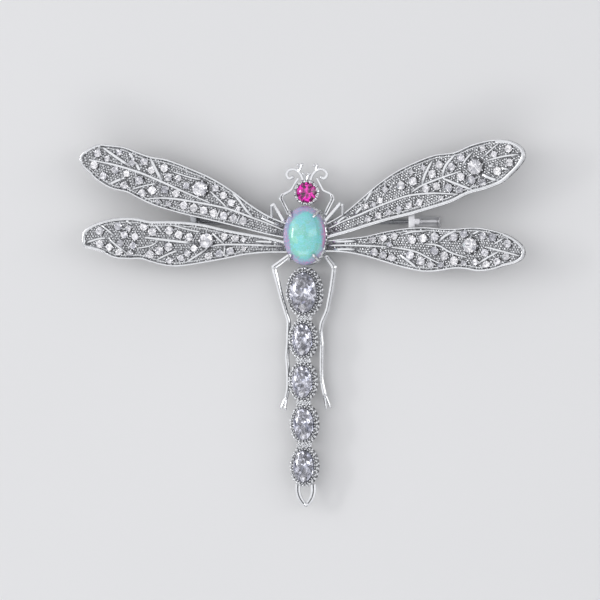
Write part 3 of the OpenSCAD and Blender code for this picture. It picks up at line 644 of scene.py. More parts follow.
class Nodes:
    """A node tree and the ways to add to it."""

    def __init__(self, tree):
        self.tree = tree

    def node(self, kind, settings, inputs, output=0):
        """Adds a node, with its settings first and then its sockets, and returns one of its outputs."""
        node = self.tree.nodes.new(kind)
        for key, value in settings.items():
            setattr(node, key, value)
        for key, value in inputs.items():
            self.feed(node.inputs[key], value)
        return Reading(self, node.outputs[output])

    def feed(self, socket, value):
        if isinstance(value, Reading):
            self.tree.links.new(value.socket, socket)
        else:
            socket.default_value = value

    def between(self, value, low, high, start=0.0, end=1.0):
        """The value's range from low to high, spread from start to end."""
        return self.node("ShaderNodeMapRange", {"clamp": True}, {0: value, 1: low, 2: high, 3: start, 4: end})

    def mix(self, share, a, b):
        """Mix of two colours."""
        return self.node("ShaderNodeMix", {"data_type": "RGBA"}, {0: share, 6: a, 7: b}, 2)


class Finish(Nodes):
    """A material around its shader."""

    def __init__(self, name, **fixed):
        self.material = bpy.data.materials.new(name)
        self.material.use_nodes = True
        super().__init__(self.material.node_tree)
        self.shader = self.tree.nodes["Principled BSDF"]
        self.show(**fixed)
        self.place = self.node("ShaderNodeTexCoord", {}, {}, "Object")

    def noise(self, size, detail=2.0, stretch=(1, 1, 1), output=0):
        """Noise with features of a size in millimetres."""
        at = self.node("ShaderNodeMapping", {}, {"Vector": self.place, "Scale": stretch})
        return self.node(
            "ShaderNodeTexNoise", {}, {"Vector": at, "Scale": 1 / (size * MM), "Detail": detail}, output
        )

    def cells(self, size, output="Color", place=None):
        """Cells of a size in millimetres, each with its own random colour."""
        return self.node(
            "ShaderNodeTexVoronoi", {}, {"Vector": place or self.place, "Scale": 1 / (size * MM)}, output
        )

    def part(self, color, channel=0):
        """One channel of a colour."""
        return self.node("ShaderNodeSeparateColor", {}, {0: color}, channel)

    def relief(self, height, depth):
        """Feeds a relief of a depth in millimetres to the shader."""
        bump = self.node("ShaderNodeBump", {}, {"Height": height, "Distance": depth * MM, "Strength": 1.0})
        self.show(normal=bump)

    def show(self, **readings):
        """Feeds readings or plain values to the shader and returns the material."""
        for name, value in readings.items():
            self.feed(self.shader.inputs[name.replace("_", " ").title().replace("Ior", "IOR")], value)
        return self.material


def times(color, *shares):
    """A colour with each channel multiplied, by one share or by one for each channel."""
    shares = shares * 3 if len(shares) == 1 else shares
    return tuple(c * f for c, f in zip(color[:3], shares)) + (1,)


def polished_metal(name, color, low, high):
    """Rhodium-white metal from the polishing wheel: faint clouding and fine wheel marks."""
    finish = Finish(name, metallic=1.0)
    cloud = finish.noise(1.6, 3)
    marks = finish.noise(0.09, 2, (1, 4, 1))
    finish.relief(marks, 0.004)
    return finish.show(
        base_color=finish.mix(finish.between(cloud, 0.3, 0.7), times(color, 0.86), color),
        roughness=finish.between(marks + cloud, 0.7, 1.3, low, high),
    )


def grained_with_painted_shade(name, color):
    """Metal left as cast between the beads: rough, with painted shade that darkens the hollows between its
    cells.
    """
    finish = Finish(name, metallic=1.0)
    rise = 1 - finish.cells(0.22, "Distance")
    finish.relief(rise, 0.07)
    return finish.show(
        # Painted shade: the low ground between the raised cells is darkened to three tenths of the colour.
        base_color=finish.mix(finish.between(rise, 0.35, 0.75), times(color, 0.3), color),
        roughness=finish.between(rise, 0.3, 0.8, 0.42, 0.2),
    )


def clear_stone(name, color, depth):
    """Cut colourless stone, with painted dark facets that stand in for reflections of dark surroundings, and
    a painted glint, a faint glow in small cells, for the sparkle of facets too small to cut.
    """
    # The stone glows a little: its emission carries a painted glint.
    finish = Finish(name, transmission_weight=1.0, ior=2.1, roughness=0.0, emission_strength=1.0)
    spark = finish.part(finish.cells(0.36))
    painted_facet_cells = finish.part(finish.cells(0.62))
    # Painted reflection: dark slate cells stand in for the dark surroundings seen in the facets; depth sets
    # how dark they are painted.
    painted_dark_reflection = times(color, *(f * depth + 1 - depth for f in (0.09, 0.1, 0.15)))
    # Painted glint: the brightest small cells glow faintly through the emission.
    painted_glint = finish.mix(finish.between(spark, 0.5, 0.95), (0.004, 0.004, 0.006, 1), (0.1, 0.1, 0.11, 1))
    body = finish.mix(finish.between(finish.noise(1.3, 1), 0.4, 0.6), times(color, 0.96, 0.965, 0.985), color)
    body = finish.mix(finish.between(spark, 0.5, 0.2, 0, 0.75), body, painted_dark_reflection)
    return finish.show(
        base_color=finish.mix(finish.between(painted_facet_cells, 0.24, 0.14), body, painted_dark_reflection), emission_color=painted_glint
    )


def pink_stone(name, color):
    """Cut pink stone with painted dark facets and painted bright facets that glow a little through the
    emission.
    """
    finish = Finish(name, transmission_weight=1.0, ior=1.76, roughness=0.0, emission_strength=1.0)
    painted_facet_cells = finish.part(finish.cells(0.46))
    return finish.show(
        # Painted shade and glint: facet cells are painted nearly black, and the brightest ones glow with a
        # share of the stone's colour.
        base_color=finish.mix(finish.between(painted_facet_cells, 0.35, 0.7), times(color, 0.05), color),
        emission_color=finish.mix(finish.between(painted_facet_cells, 0.6, 0.8), (0.004, 0, 0.002, 1), times(color, 0.2)),
    )


def opal_colours(name, base, patch, rim, spark, streak):
    """Play-of-colour cabochon: broad green patches and small sparks in turquoise, with a lilac edge."""
    finish = Finish(name, roughness=0.22, ior=1.45, coat_weight=1.0, coat_roughness=0.03)
    broad = finish.noise(2.2, 1)
    warp = finish.node("ShaderNodeVectorMath", {"operation": "MULTIPLY_ADD"}, {
        0: finish.noise(0.5, 1, output=1), 1: (0.9 * MM,) * 3, 2: finish.place,
    })
    cells = finish.cells(1.05, place=warp)
    tone = finish.part(cells)
    other = finish.part(cells, 1)
    fine = finish.noise(0.2, 2)
    specks = finish.noise(0.26, 0)
    x, y = (
        finish.node("ShaderNodeSeparateXYZ", {}, {0: finish.place}, k) * (1 / (BASKET[k] * MM))
        for k in range(2)
    )
    out = (x * x + y * y) ** 0.5
    body = finish.mix(finish.between(broad * 0.6 + tone * 0.6, 0.66, 0.82, 0, 0.7), base, patch)
    body = finish.mix(finish.between(other, 0.9, 0.93, 0, 0.7), body, spark)
    body = finish.mix(finish.between(fine, 0.53, 0.6, 0, 0.55), body, (0.42, 0.74, 0.88, 1))
    body = finish.mix(finish.between(fine, 0.47, 0.4, 0, 0.5), body, patch)
    haze = finish.between(x * 0.5 + y, 0.1, 0.9, 0, 0.35) * finish.between(broad, 0.45, 0.65)
    body = finish.mix(haze, body, (0.36, 0.62, 0.84, 1))
    side = x - 0.13
    off = (side * side + y * y * 0.9) ** 0.5
    edge = finish.between(off + (broad - 0.5) * 0.2 + (tone - 0.5) * 0.06, 0.73, 0.84, 0, 0.9)
    body = finish.mix(edge, body, rim)
    body = finish.mix(edge * finish.between(specks, 0.58, 0.64, 0, 0.9), body, streak)
    line = finish.between(out, 0.945, 0.96) * finish.between(out, 0.985, 0.997, 1, 0)
    line = line * finish.between(x, 0.5, 0.6)
    line = line * finish.between(y, -0.42, -0.3) * finish.between(y, 0.35, 0.42, 1, 0)
    return finish.show(base_color=finish.mix(line * 0.85, body, streak))


def pale_floor(name, color):
    finish = Finish(name, roughness=0.6)
    return finish.show(base_color=finish.mix(finish.noise(60, 2), times(color, 0.97), color))


# Sizes and colours that a user would change


def length(name, description, default):
    return bpy.props.FloatProperty(
        name=name, description=description, default=default * MM, min=0.01 * MM, precision=5, unit="LENGTH"
    )


def number(name, description, default, low, high=10000):
    return bpy.props.FloatProperty(name=name, description=description, default=default, min=low, max=high)


def colour(name, description, default):
    return bpy.props.FloatVectorProperty(
        name=name, description=description, default=default, size=4, min=0, max=1, subtype="COLOR"
    )


class BroochMetal(bpy.types.PropertyGroup):
    """Colours of the metal, with the darker ones partly or wholly painted shade."""

    polished: colour("Polished", "Colour of the polished metal", (0.86, 0.87, 0.885, 1))
    # Cast: rough cast metal, its darkness partly painted shade on the floor between the beads and walls.
    cast: colour("Cast", "Colour of the wings' floor between the beads", (0.46, 0.465, 0.48, 1))
    # Painted shade: the dark colour laid in hollows, rings and grooves where shade falls.
    hollow: colour("Hollows", "Colour of the metal deep between beads and in grooves", (0.3, 0.3, 0.31, 1))
    satin: colour("Satin", "Colour of the catch", (0.95, 0.95, 0.97, 1))
    # Painted shade: the pin and hinge lie in shade under the wings and are painted as a darker metal.
    worn: colour("Worn", "Colour of the pin and its hinge", (0.42, 0.43, 0.45, 1))
    low: number("Finest gloss", "Least roughness of the polished metal", 0.07, 0, 1)
    high: number("Worn gloss", "Most roughness of the polished metal", 0.17, 0, 1)


class BroochWings(bpy.types.PropertyGroup):
    """Sizes of the wings' beads and fine lines."""

    grain: length("Grain", "Diameter of a grain on the wings' floor", 0.3)
    pitch: length("Grain pitch", "Distance between two grains", 0.4)
    prong: length("Prong", "Diameter of a bead that holds a stone", 0.26)
    line: length("Fine line", "Width of the fine line inside the edges", 0.12)


class BroochBody(bpy.types.PropertyGroup):
    """Sizes of the beads on the collets."""

    bead: length("Ball", "Diameter of a ball around a collet", 0.5)
    bead_pitch: length("Ball pitch", "Distance between two balls around a collet", 0.78)
    edge_grain: length("Edge grain", "Diameter of a grain on a collet's edge", 0.4)
    inner_bead: length("Inner grain", "Diameter of a grain at an oval stone's edge", 0.28)
    eye_bead: length("Claw", "Diameter of a claw around the eye stone", 0.48)
    eye_beads: bpy.props.IntProperty(
        name="Claws", description="Claws around the eye stone", default=13, min=8
    )


class BroochStones(bpy.types.PropertyGroup):
    """Colours of the stones."""

    clear: colour("Clear", "Colour of the wings' round stones", (1.0, 0.985, 0.965, 1))
    oval: colour("Oval", "Colour of the abdomen's oval stones", (0.93, 0.93, 1.0, 1))
    pink: colour("Pink", "Colour of the eye stone", (0.85, 0.03, 0.5, 1))
    opal: colour("Cabochon", "Ground colour of the cabochon", (0.24, 0.78, 0.79, 1))
    patch: colour("Patches", "Colour of the cabochon's broad patches", (0.26, 0.68, 0.52, 1))
    spark: colour("Sparks", "Colour of the cabochon's small sparks", (0.38, 0.88, 0.62, 1))
    rim: colour("Edge", "Colour of the cabochon's edge", (0.42, 0.42, 0.68, 1))
    streak: colour("Streak", "Colour of specks and streak in the cabochon's edge", (0.8, 0.33, 0.62, 1))


class BroochStage(bpy.types.PropertyGroup):
    """Floor, light and camera."""

    floor: colour("Floor", "Colour of the floor", (0.8, 0.8, 0.8, 1))
    tent: colour("Tent", "Colour and strength of the light tent", (0.68, 0.685, 0.71, 1))
    dark: colour("Hole", "Colour of the tent's hole and of the wall under it", (0.03, 0.03, 0.045, 1))
    hole: number("Hole size", "Half angle of the hole in degrees", 9, 4)
    band: number("Wall", "Height of the dark wall in degrees", 18, 7)
    tilt: bpy.props.FloatProperty(
        name="Camera tilt", description="Tilt toward the right wings", default=radians(12), subtype="ANGLE"
    )
    distance: length("Distance", "Distance of the camera", 2000)
    lens: number("Lens", "Focal length in millimetres", 800, 20)


SETTINGS = {
    "brooch_metal": BroochMetal, "brooch_wings": BroochWings, "brooch_body": BroochBody,
    "brooch_stones": BroochStones, "brooch_stage": BroochStage,
}


def finish_of(name, make, *values):
    """A finish by its name, made at its first use."""
    return bpy.data.materials.get(name) or make(name, *values)


def polished(context):
    metal = context.scene.brooch_metal
    return finish_of("polished_metal", polished_metal, tuple(metal.polished), metal.low, metal.high)


def hollow(context):
    """A dark finish laid in hollows and grooves as painted shade."""
    return finish_of("dark_hollow", grained_with_painted_shade, tuple(context.scene.brooch_metal.hollow))


def cast(context):
    """The finish of the metal between grains: rough cast metal, kept dark partly as painted shade."""
    return finish_of("cast_floor", grained_with_painted_shade, tuple(context.scene.brooch_metal.cast))


def clear(context, kind="clear"):
    """The finish of the wings' stones, or the cooler one of the abdomen's."""
    tone = tuple(getattr(context.scene.brooch_stones, kind))
    # The last value sets how dark the painted reflections in the facets are.
    return finish_of("faceted_" + kind, clear_stone, tone, 1.0 if kind == "oval" else 0.8)


# Operators, one for each piece or group of like pieces


WINGS = [
    Wing("fore_left", -1, (2.7, 1.36), 16.8, 34, 7.2, (110, 115), FORE_LEFT_EDGES, FORE_LEFT_VEINS,
         FORE_LEFT_ROWS, (44, 22)),
    Wing("fore_right", 1, (2.7, 1.36), 19.5, 33.9, 7.2, (90, 190), FORE_RIGHT_EDGES, FORE_RIGHT_VEINS,
         FORE_RIGHT_ROWS, (76, 7)),
    Wing("hind_left", -1, (3.0, -0.29), -0.3, 34, 6.8, (170, 110), HIND_LEFT_EDGES, HIND_LEFT_VEINS,
         HIND_LEFT_ROWS, (39, -6)),
    Wing("hind_right", 1, (3.0, -0.29), -3.6, 33.9, 6.8, (85, 120), HIND_RIGHT_EDGES, HIND_RIGHT_VEINS,
         HIND_RIGHT_ROWS, (72.5, 3)),
]


def mirrored(half):
    """A section from its left half, listed clockwise."""
    return half + [(-x, y) for x, y in reversed(half)]


def ridge(width, height):
    """Section of a raised line that stands on the floor."""
    w = width / 2
    return mirrored([(-w, -RIDGE_FOOT), (-w, height * 0.6), (-w * 0.93, height * 0.9), (-w * 0.76, height)])


def rim(width, height):
    """Section of a raised rim."""
    w = width / 2
    return mirrored([(-w, 0.12), (-w, height - 0.18), (-w * 0.84, height - 0.04), (-w * 0.56, height)])


def seats_of(wing):
    return [(x, y, d / 2 + GAP) for x, y, d in wing.stones()] + [(*wing.accent, ACCENT_D / 2 + GAP)]


def clear_runs(line, seats):
    """The parts of a line that are clear of the stones' seats."""
    runs = [[]]
    for p in line:
        if any(hypot(p[0] - x, p[1] - y) < r for x, y, r in seats):
            if runs[-1]:
                runs.append([])
        else:
            runs[-1].append(p)
    return [run for run in runs if len(run) > 3]


def tapered(points):
    """Radii of a raised line that sinks a little at its two ends."""
    last = len(points) - 1
    return [1 - TAPER * max(0, 1 - 4 * min(i, last - i) / last) for i in range(last + 1)]


class BROOCH_OT_wings(bpy.types.Operator):
    """Casts the four wings: floor with stone seats, rims, veins, prong beads and grain"""

    bl_idname = "brooch.wings"
    bl_label = "Wings"

    def execute(self, context):
        sizes = context.scene.brooch_wings
        prong = sizes.prong / MM / 2
        for wing in WINGS:
            outline = wing.outline()
            stones = wing.stones()
            seats = [(x, y, d * SEAT_SHARE) for x, y, d in stones]
            seats.append((*wing.accent, ACCENT_D * ACCENT_SEAT_SHARE))
            holes = [[(x + r * a, y + r * b) for a, b in oval((1, 1), 16)] for x, y, r in seats]
            parts = [faced(plate(outline, holes, WING_FLOOR), cast(context))]
            metal = []
            for line, share in ((wing.front, wing.rims[0]), (wing.back[::-1], wing.rims[1])):
                w = share * VEIN_W / 100
                inset = [wing.outside_basket(p) for p in shifted(line, w / 2)]
                metal.append(moulding([raised(inset, 0)], rim(w, RIM_H)))
                fine = [wing.outside_basket(p) for p in shifted(line, w + LINE_SPACE)]
                keep = fine[len(fine) // 7:-len(fine) // 8]
                section = ridge(sizes.line / MM, 0.26)
                metal.append(moulding([raised(keep, WING_FLOOR)], section, radii=[tapered(keep)]))
            tip = STEPS * (len(wing.edges) - 1)
            w = max(TIP_RIM, *wing.rims) * VEIN_W / 100
            line = outline[tip - TIP_SPAN[0]:tip + TIP_SPAN[1]]
            metal.append(moulding([raised(shifted(line, w / 2), 0)], rim(w, TIP_RIM_H)))
            for share, points in wing.veins:
                line = smooth([wing.point(p) for p in points], 12)
                runs = [raised(run, WING_FLOOR) for run in clear_runs(line, seats_of(wing))]
                section = ridge(share * VEIN_W / 100, WING_RELIEF)
                metal.append(moulding(runs, section, radii=[tapered(run) for run in runs]))
            # Painted shade: a dark ring round each stone stands for the shaded gap between stone and floor.
            ready()
            bpy.ops.mesh.primitive_torus_add(
                major_radius=1.05, minor_radius=0.12, major_segments=24, minor_segments=6
            )
            ring = bpy.context.object
            bpy.ops.object.shade_smooth()
            painted_shade_rings = [(x, y, WING_FLOOR + 0.02, d / 2, 0) for x, y, d in stones]
            painted_shade_rings.append((*wing.accent, WING_FLOOR + 0.16, ACCENT_D / 2 + 0.02, 0))
            parts.append(faced(copies(ring, painted_shade_rings), hollow(context)))
            beads = []
            for n, (x, y, d) in enumerate(stones):
                for k in range(4):
                    a = pi / 4 + k * pi / 2 + 0.7 * sin(5 * n)
                    beads.append((*turned(d / 2 + 0.08, a, x, y), WING_FLOOR + 0.16, prong, 0))
            for k in range(8):
                at = turned(ACCENT_D / 2 + 0.06, pi * k / 4, *wing.accent)
                beads.append((*at, WING_FLOOR + 0.3, prong * 1.35, 0))
            metal.append(copies(bead(), beads))
            metal.append(copies(grain(1), self.grains(wing, sizes, stones)))
            parts += [faced(piece, polished(context)) for piece in metal]
            finished(wing.name + "_wing", parts, "white_metal", "wing_" + wing.name, wing.matrix())
        return {"FINISHED"}

    def grains(self, wing, sizes, stones):
        """Spots of the beaded ground: rows of grains clear of stones, veins and rims."""
        taken = []
        for share, points in wing.veins:
            line = smooth([wing.point(p) for p in points], 10)
            taken += [(p, share * VEIN_W / 200 + 0.1) for p in line]
        for line, share in ((wing.front, wing.rims[0]), (wing.back, wing.rims[1])):
            taken += [(p, share * VEIN_W / 100 + 0.1) for p in smooth(line, 6)]
        tree = KDTree(len(taken))
        for i, (p, _) in enumerate(taken):
            tree.insert((p[0], p[1], 0), i)
        tree.balance()
        around = [(x, y, d / 2 + 0.17) for x, y, d in stones] + [(*wing.accent, ACCENT_D / 2 + 0.3)]
        pitch = sizes.pitch / MM
        size = sizes.grain / MM / 2
        spots = []
        rows = int(2 * wing.width / (pitch * ROW_SHARE))
        for row in range(-rows, rows):
            y = row * pitch * ROW_SHARE
            for step in range(int(wing.length / pitch)):
                x = (step + (row % 2) / 2) * pitch
                low, high = self.width_at(wing, x)
                if not low + 0.35 < y < high - 0.35 or x < wing.length * 0.05:
                    continue
                if any(hypot(x - a, y - b) < r for a, b, r in around):
                    continue
                _, i, away = tree.find((x, y, 0))
                if away >= taken[i][1]:
                    spots.append((x, y, WING_FLOOR + 0.05, size * (0.95 + 0.25 * sin(7 * x + 11 * y)), 0))
        return spots

    def width_at(self, wing, x):
        """Back and front edge at a place along the wing."""
        found = []
        for line in (wing.back, wing.front):
            for a, b in zip(line, line[1:]):
                if a[0] <= x < b[0]:
                    found.append(a[1] + (b[1] - a[1]) * (x - a[0]) / (b[0] - a[0]))
                    break
        return found if len(found) == 2 else (0, 0)


class BROOCH_OT_wing_stones(bpy.types.Operator):
    """Sets the round stones of the four wings"""

    bl_idname = "brooch.wing_stones"
    bl_label = "Wing stones"

    def execute(self, context):
        glass = clear(context)
        seed = brilliant()
        for wing in WINGS:
            spots = [(x, y, WING_FLOOR + 0.06, d / 2, 2.4 * k) for k, (x, y, d) in enumerate(wing.stones())]
            small = copies(seed, spots, keep_seed=True)
            large = copied(seed, (ACCENT_D / 2,) * 3, (*wing.accent, WING_FLOOR + WING_RELIEF / 2))
            for kind, node, piece in (("_stones", "pave_", small), ("_large_stone", "accent_", large)):
                parts = [faced(piece, glass)]
                finished(
                    wing.name + kind, parts, "clear_stone", node + wing.name, wing.matrix(), smooth_angle=0
                )
        removed(seed)
        return {"FINISHED"}


class BROOCH_OT_thorax(bpy.types.Operator):
    """Raises the oval basket with its gallery and four claws"""

    bl_idname = "brooch.thorax"
    bl_label = "Thorax setting"

    def execute(self, context):
        low, high = BASKET_Z
        w = BASKET_WALL
        wall = [
            (0, low), (0, high), (w * 0.8, high), (w * 0.9, high - 0.1), (w * 0.7, high - 0.3),
            (w * 0.4, high - 0.7), (w * 0.4, high - 0.8), (w * 0.98, high - 1.02), (w, high - 1.12),
            (w * 0.9, high - 1.3), (w * 0.5, high - 1.36), (w * 0.5, low + 0.7), (w * 0.98, low + 0.52),
            (w, low + 0.4), (w, low + 0.1), (w * 0.9, low),
        ]
        parts = [moulding([raised(oval(grown(BASKET, -w)), 0)], wall, closed=True)]
        posts = [
            [(x, y, low + 0.3), (x, y, high - 0.3)] for x, y, _ in around_oval(grown(BASKET, -0.16), 26)
        ]
        parts.append(wire(posts, [[0.13, 0.13]] * len(posts), sides=6))
        r = CLAW_D / 2
        up = Vector((0, 0, 1))
        for degree in CLAWS:
            a = radians(degree)
            foot = Vector((BASKET[0] * cos(a), BASKET[1] * sin(a), 0))
            out = foot.normalized()
            line = [
                foot + out * r * 0.3 + up * (high - 1.8), foot + out * r * 0.7 + up * (high - r),
                foot + out * (r + GAP) + up * (GIRDLE_Z + GAP), over_opal(0.96, a, 0) + out * (r + GAP),
                over_opal(0.88, a, 0) + (out + up) * r * 0.8, over_opal(0.8, a, r * 0.8),
            ]
            line = smooth([tuple(p) for p in line])
            last = len(line) - 1
            ends = [1] * (last - 1) + [0.85, 0.5]
            radii = [r * (0.95 - 0.2 * i / last) * end for i, end in enumerate(ends)]
            parts.append(wire([line], [radii], sides=12))
        piece = faced(joined("basket", parts), polished(context))
        finished("thorax_basket", [piece], "white_metal", "thorax_setting")
        return {"FINISHED"}


def over_opal(share, a, lift):
    """Point over the cabochon at a share of its half sizes."""
    return Vector((
        share * BASKET[0] * cos(a), share * BASKET[1] * sin(a),
        GIRDLE_Z + OPAL_H * sqrt(max(0, 1 - share * share)) + lift,
    ))


class BROOCH_OT_opal(bpy.types.Operator):
    """Shapes and colours the cabochon"""

    bl_idname = "brooch.opal"
    bl_label = "Cabochon"

    def execute(self, context):
        stones = context.scene.brooch_stones
        ready()
        bpy.ops.mesh.primitive_uv_sphere_add(segments=64, ring_count=48, radius=1, location=(0, 0, GIRDLE_Z))
        piece = context.object
        piece.scale = (*BASKET, OPAL_H)
        edited(applied(piece), cut((0, 0, GIRDLE_Z), (0, 0, -1)))
        colours = [tuple(getattr(stones, name)) for name in ("opal", "patch", "rim", "spark", "streak")]
        finish = finish_of("play_of_colour", opal_colours, *colours)
        finished("cabochon", [faced(piece, finish)], "opal", "opal")
        return {"FINISHED"}


class BROOCH_OT_head(bpy.types.Operator):
    """Makes the eye stone's collet with its claws, the two feelers and the forks"""

    bl_idname = "brooch.head"
    bl_label = "Head setting"

    def execute(self, context):
        sizes = context.scene.brooch_body
        low = HEAD_Z
        top = HEAD_TOP
        inner = EYE_D / 2 - 0.25
        w = HEAD_R - inner
        foot = HEAD_FOOT - inner
        wall = [
            (0, low), (0, top - 0.35), (0.3, top - 0.35), (0.3, top), (0.34, top + 0.03),
            (w - 0.14, top + 0.03), (w - 0.04, top - 0.06), (w - 0.1, top - 0.4), (foot - 0.1, low + 0.5),
            (foot, low + 0.42), (foot, low + 0.1), (foot - 0.06, low),
        ]
        shine = polished(context)
        parts = [faced(moulding([raised(oval((inner, inner), 64), 0)], wall, closed=True), shine)]
        count = sizes.eye_beads
        r = sizes.eye_bead / MM / 2
        claw = bead()
        claw.scale = (1.2, 0.78, 0.95)
        # Painted shade: dark flattened beads between the claws stand for the shaded notches.
        notch = bead()
        notch.scale = (1.35, 0.42, 0.8)
        applied(claw, notch)
        at = HEAD_R - 1.3 * r
        spots = []
        small = []
        ribs = []
        for k in range(count):
            a = 2 * pi * (k + 0.5) / count
            b = a + pi / count
            spots.append((*turned(at, a), top + 0.08, r * (0.97 + 0.06 * sin(4 * k)), a))
            small.append((*turned(at, b), top - 0.03, r, b))
            ribs.append([(*turned(HEAD_R - 0.2, a), top - 0.1), (*turned(HEAD_FOOT, a), low + 0.3)])
        parts.append(faced(copies(claw, spots), shine))
        # The notches take the dark finish as painted shade.
        parts.append(faced(copies(notch, small), hollow(context)))
        parts.append(faced(wire(ribs, [[0.17, 0.12]] * count), shine))
        for piece in parts:
            piece.location = (0, HEAD_Y, 0)
            applied(piece)
        f = FEELER_D / 2
        z = top - f
        balls = []
        for side in (-1, 1):
            curl = smooth(head_line([(side * x, y) for x, y in FEELER_CURL], z), 6)
            last = len(curl) - 1
            parts += banded(curl, [f * (0.74 + 0.2 * i / last) for i in range(last + 1)], context)
            balls.append((*curl[-1], f * 1.08, 0))
        for k, line in enumerate(HEAD_PRONGS):
            prong = smooth(head_line(line, z + 0.05))
            parts.append(faced(wire([prong], [[PRONG_R] * len(prong)]), shine))
            balls.append((*prong[-1], 0.3 if k == 3 else 0.25, 0))
        parts.append(faced(copies(bead(), balls), shine))
        finished("head_collet", parts, "white_metal", "head_setting")
        return {"FINISHED"}


def head_line(shares, z):
    """Points in front of the head, from percents of the feelers' reach."""
    start = HEAD_Y + HEAD_R
    return [(x * FEELER_REACH / 100, start + y * FEELER_REACH / 100, z) for x, y in shares]


class BROOCH_OT_head_stone(bpy.types.Operator):
    """Sets the round pink stone of the head"""

    bl_idname = "brooch.head_stone"
    bl_label = "Head stone"

    def execute(self, context):
        seed = brilliant()
        seed.rotation_euler = (0, 0, radians(11.25))
        stone = copied(applied(seed), (EYE_D / 2,) * 3, (0, HEAD_Y, HEAD_TOP + GAP))
        removed(seed)
        finish = finish_of("faceted_pink", pink_stone, tuple(context.scene.brooch_stones.pink))
        finished("pink_stone", [faced(stone, finish)], "pink_stone", "head_stone", smooth_angle=0)
        return {"FINISHED"}


# Sections of the legs, listed clockwise: a bar with two ridges along its top, a strip of painted shade laid
# in the groove between them, the same two for a hind leg, and a plain band
LEG_SECTION = mirrored([
    (-0.4, -0.85), (-0.9, -0.4), (-1, 0.15), (-0.94, 0.66), (-0.84, 0.8), (-0.22, 0.82), (-0.16, 0.72),
    (-0.13, 0.2),
])
GROOVE_SHADE_SECTION = mirrored([(-0.16, 0), (-0.16, 0.36)])
HIND_SECTION = [
    (-0.4, -0.85), (-0.9, -0.4), (-1, 0.1), (-0.95, 0.36), (-0.8, 0.5), (-0.14, 0.74), (-0.09, 0.64),
    (0.02, 0.64), (0.08, 0.8), (0.84, 0.8), (0.94, 0.66), (1, 0.15), (0.9, -0.4), (0.4, -0.85),
]
CREASE_SHADE_SECTION = [(-0.12, 0.2), (-0.12, 0.66), (0.05, 0.66), (0.05, 0.2)]
BAND_SECTION = mirrored([(-0.5, -0.8), (-0.95, -0.3), (-1, 0.2), (-0.9, 0.6), (-0.66, 0.8)])

# Radii of the legs at their points, and how many of a front leg's points lie above its knee
LEG_RADII = {
    "front": [0.33, 0.34, 0.26, 0.19, 0.18, 0.17, 0.17],
    "mid": [0.3, 0.27, 0.22, 0.18],
    "hind": [0.38, 0.42, 0.39, 0.37, 0.35, 0.34, 0.34, 0.33, 0.32, 0.31, 0.32, 0.32],
}
FRONT_KNEE = 7


def grooved(line, radii, context, sections=(LEG_SECTION, GROOVE_SHADE_SECTION)):
    """A bar with two polished ridges along its top and a dark strip in the groove between them as painted
    shade.
    """
    bar = faced(moulding([line], sections[0], radii=[radii]), polished(context))
    return [bar, faced(moulding([line], sections[1], radii=[radii]), hollow(context))]


def banded(line, radii, context):
    return [faced(moulding([line], BAND_SECTION, radii=[radii]), polished(context))]


def abdomen_point(x, y, z):
    """Place of a point of the abdomen's own frame."""
    return abdomen_matrix() @ Vector((x, y, z))


def abdomen_matrix():
    foot = collet(4)[1] - COLLET_FOOT
    lift = (foot - collet_y(4)) * sin(ABDOMEN_SLOPE)
    return Matrix.Translation((0, -BASKET[1], lift)) @ Matrix.Rotation(ABDOMEN_SLOPE, 4, "X")


def collet(i):
    """Half sizes of a collet around its stone."""
    return tuple(size / 2 + GAP + COLLET_EDGES[i] for size in STONE_SIZES[i])


def collet_y(i):
    if i == 0:
        return -GAP - collet(0)[1]
    return collet_y(i - 1) - collet(i - 1)[1] + COLLET_OVERLAP - collet(i)[1]


def beside_basket(degree, z):
    p = Vector((BASKET[0] * cos(radians(degree)), BASKET[1] * sin(radians(degree)), 0))
    p += p.normalized() * (LEG_D / 2 + GAP)
    return (p.x, p.y, z)


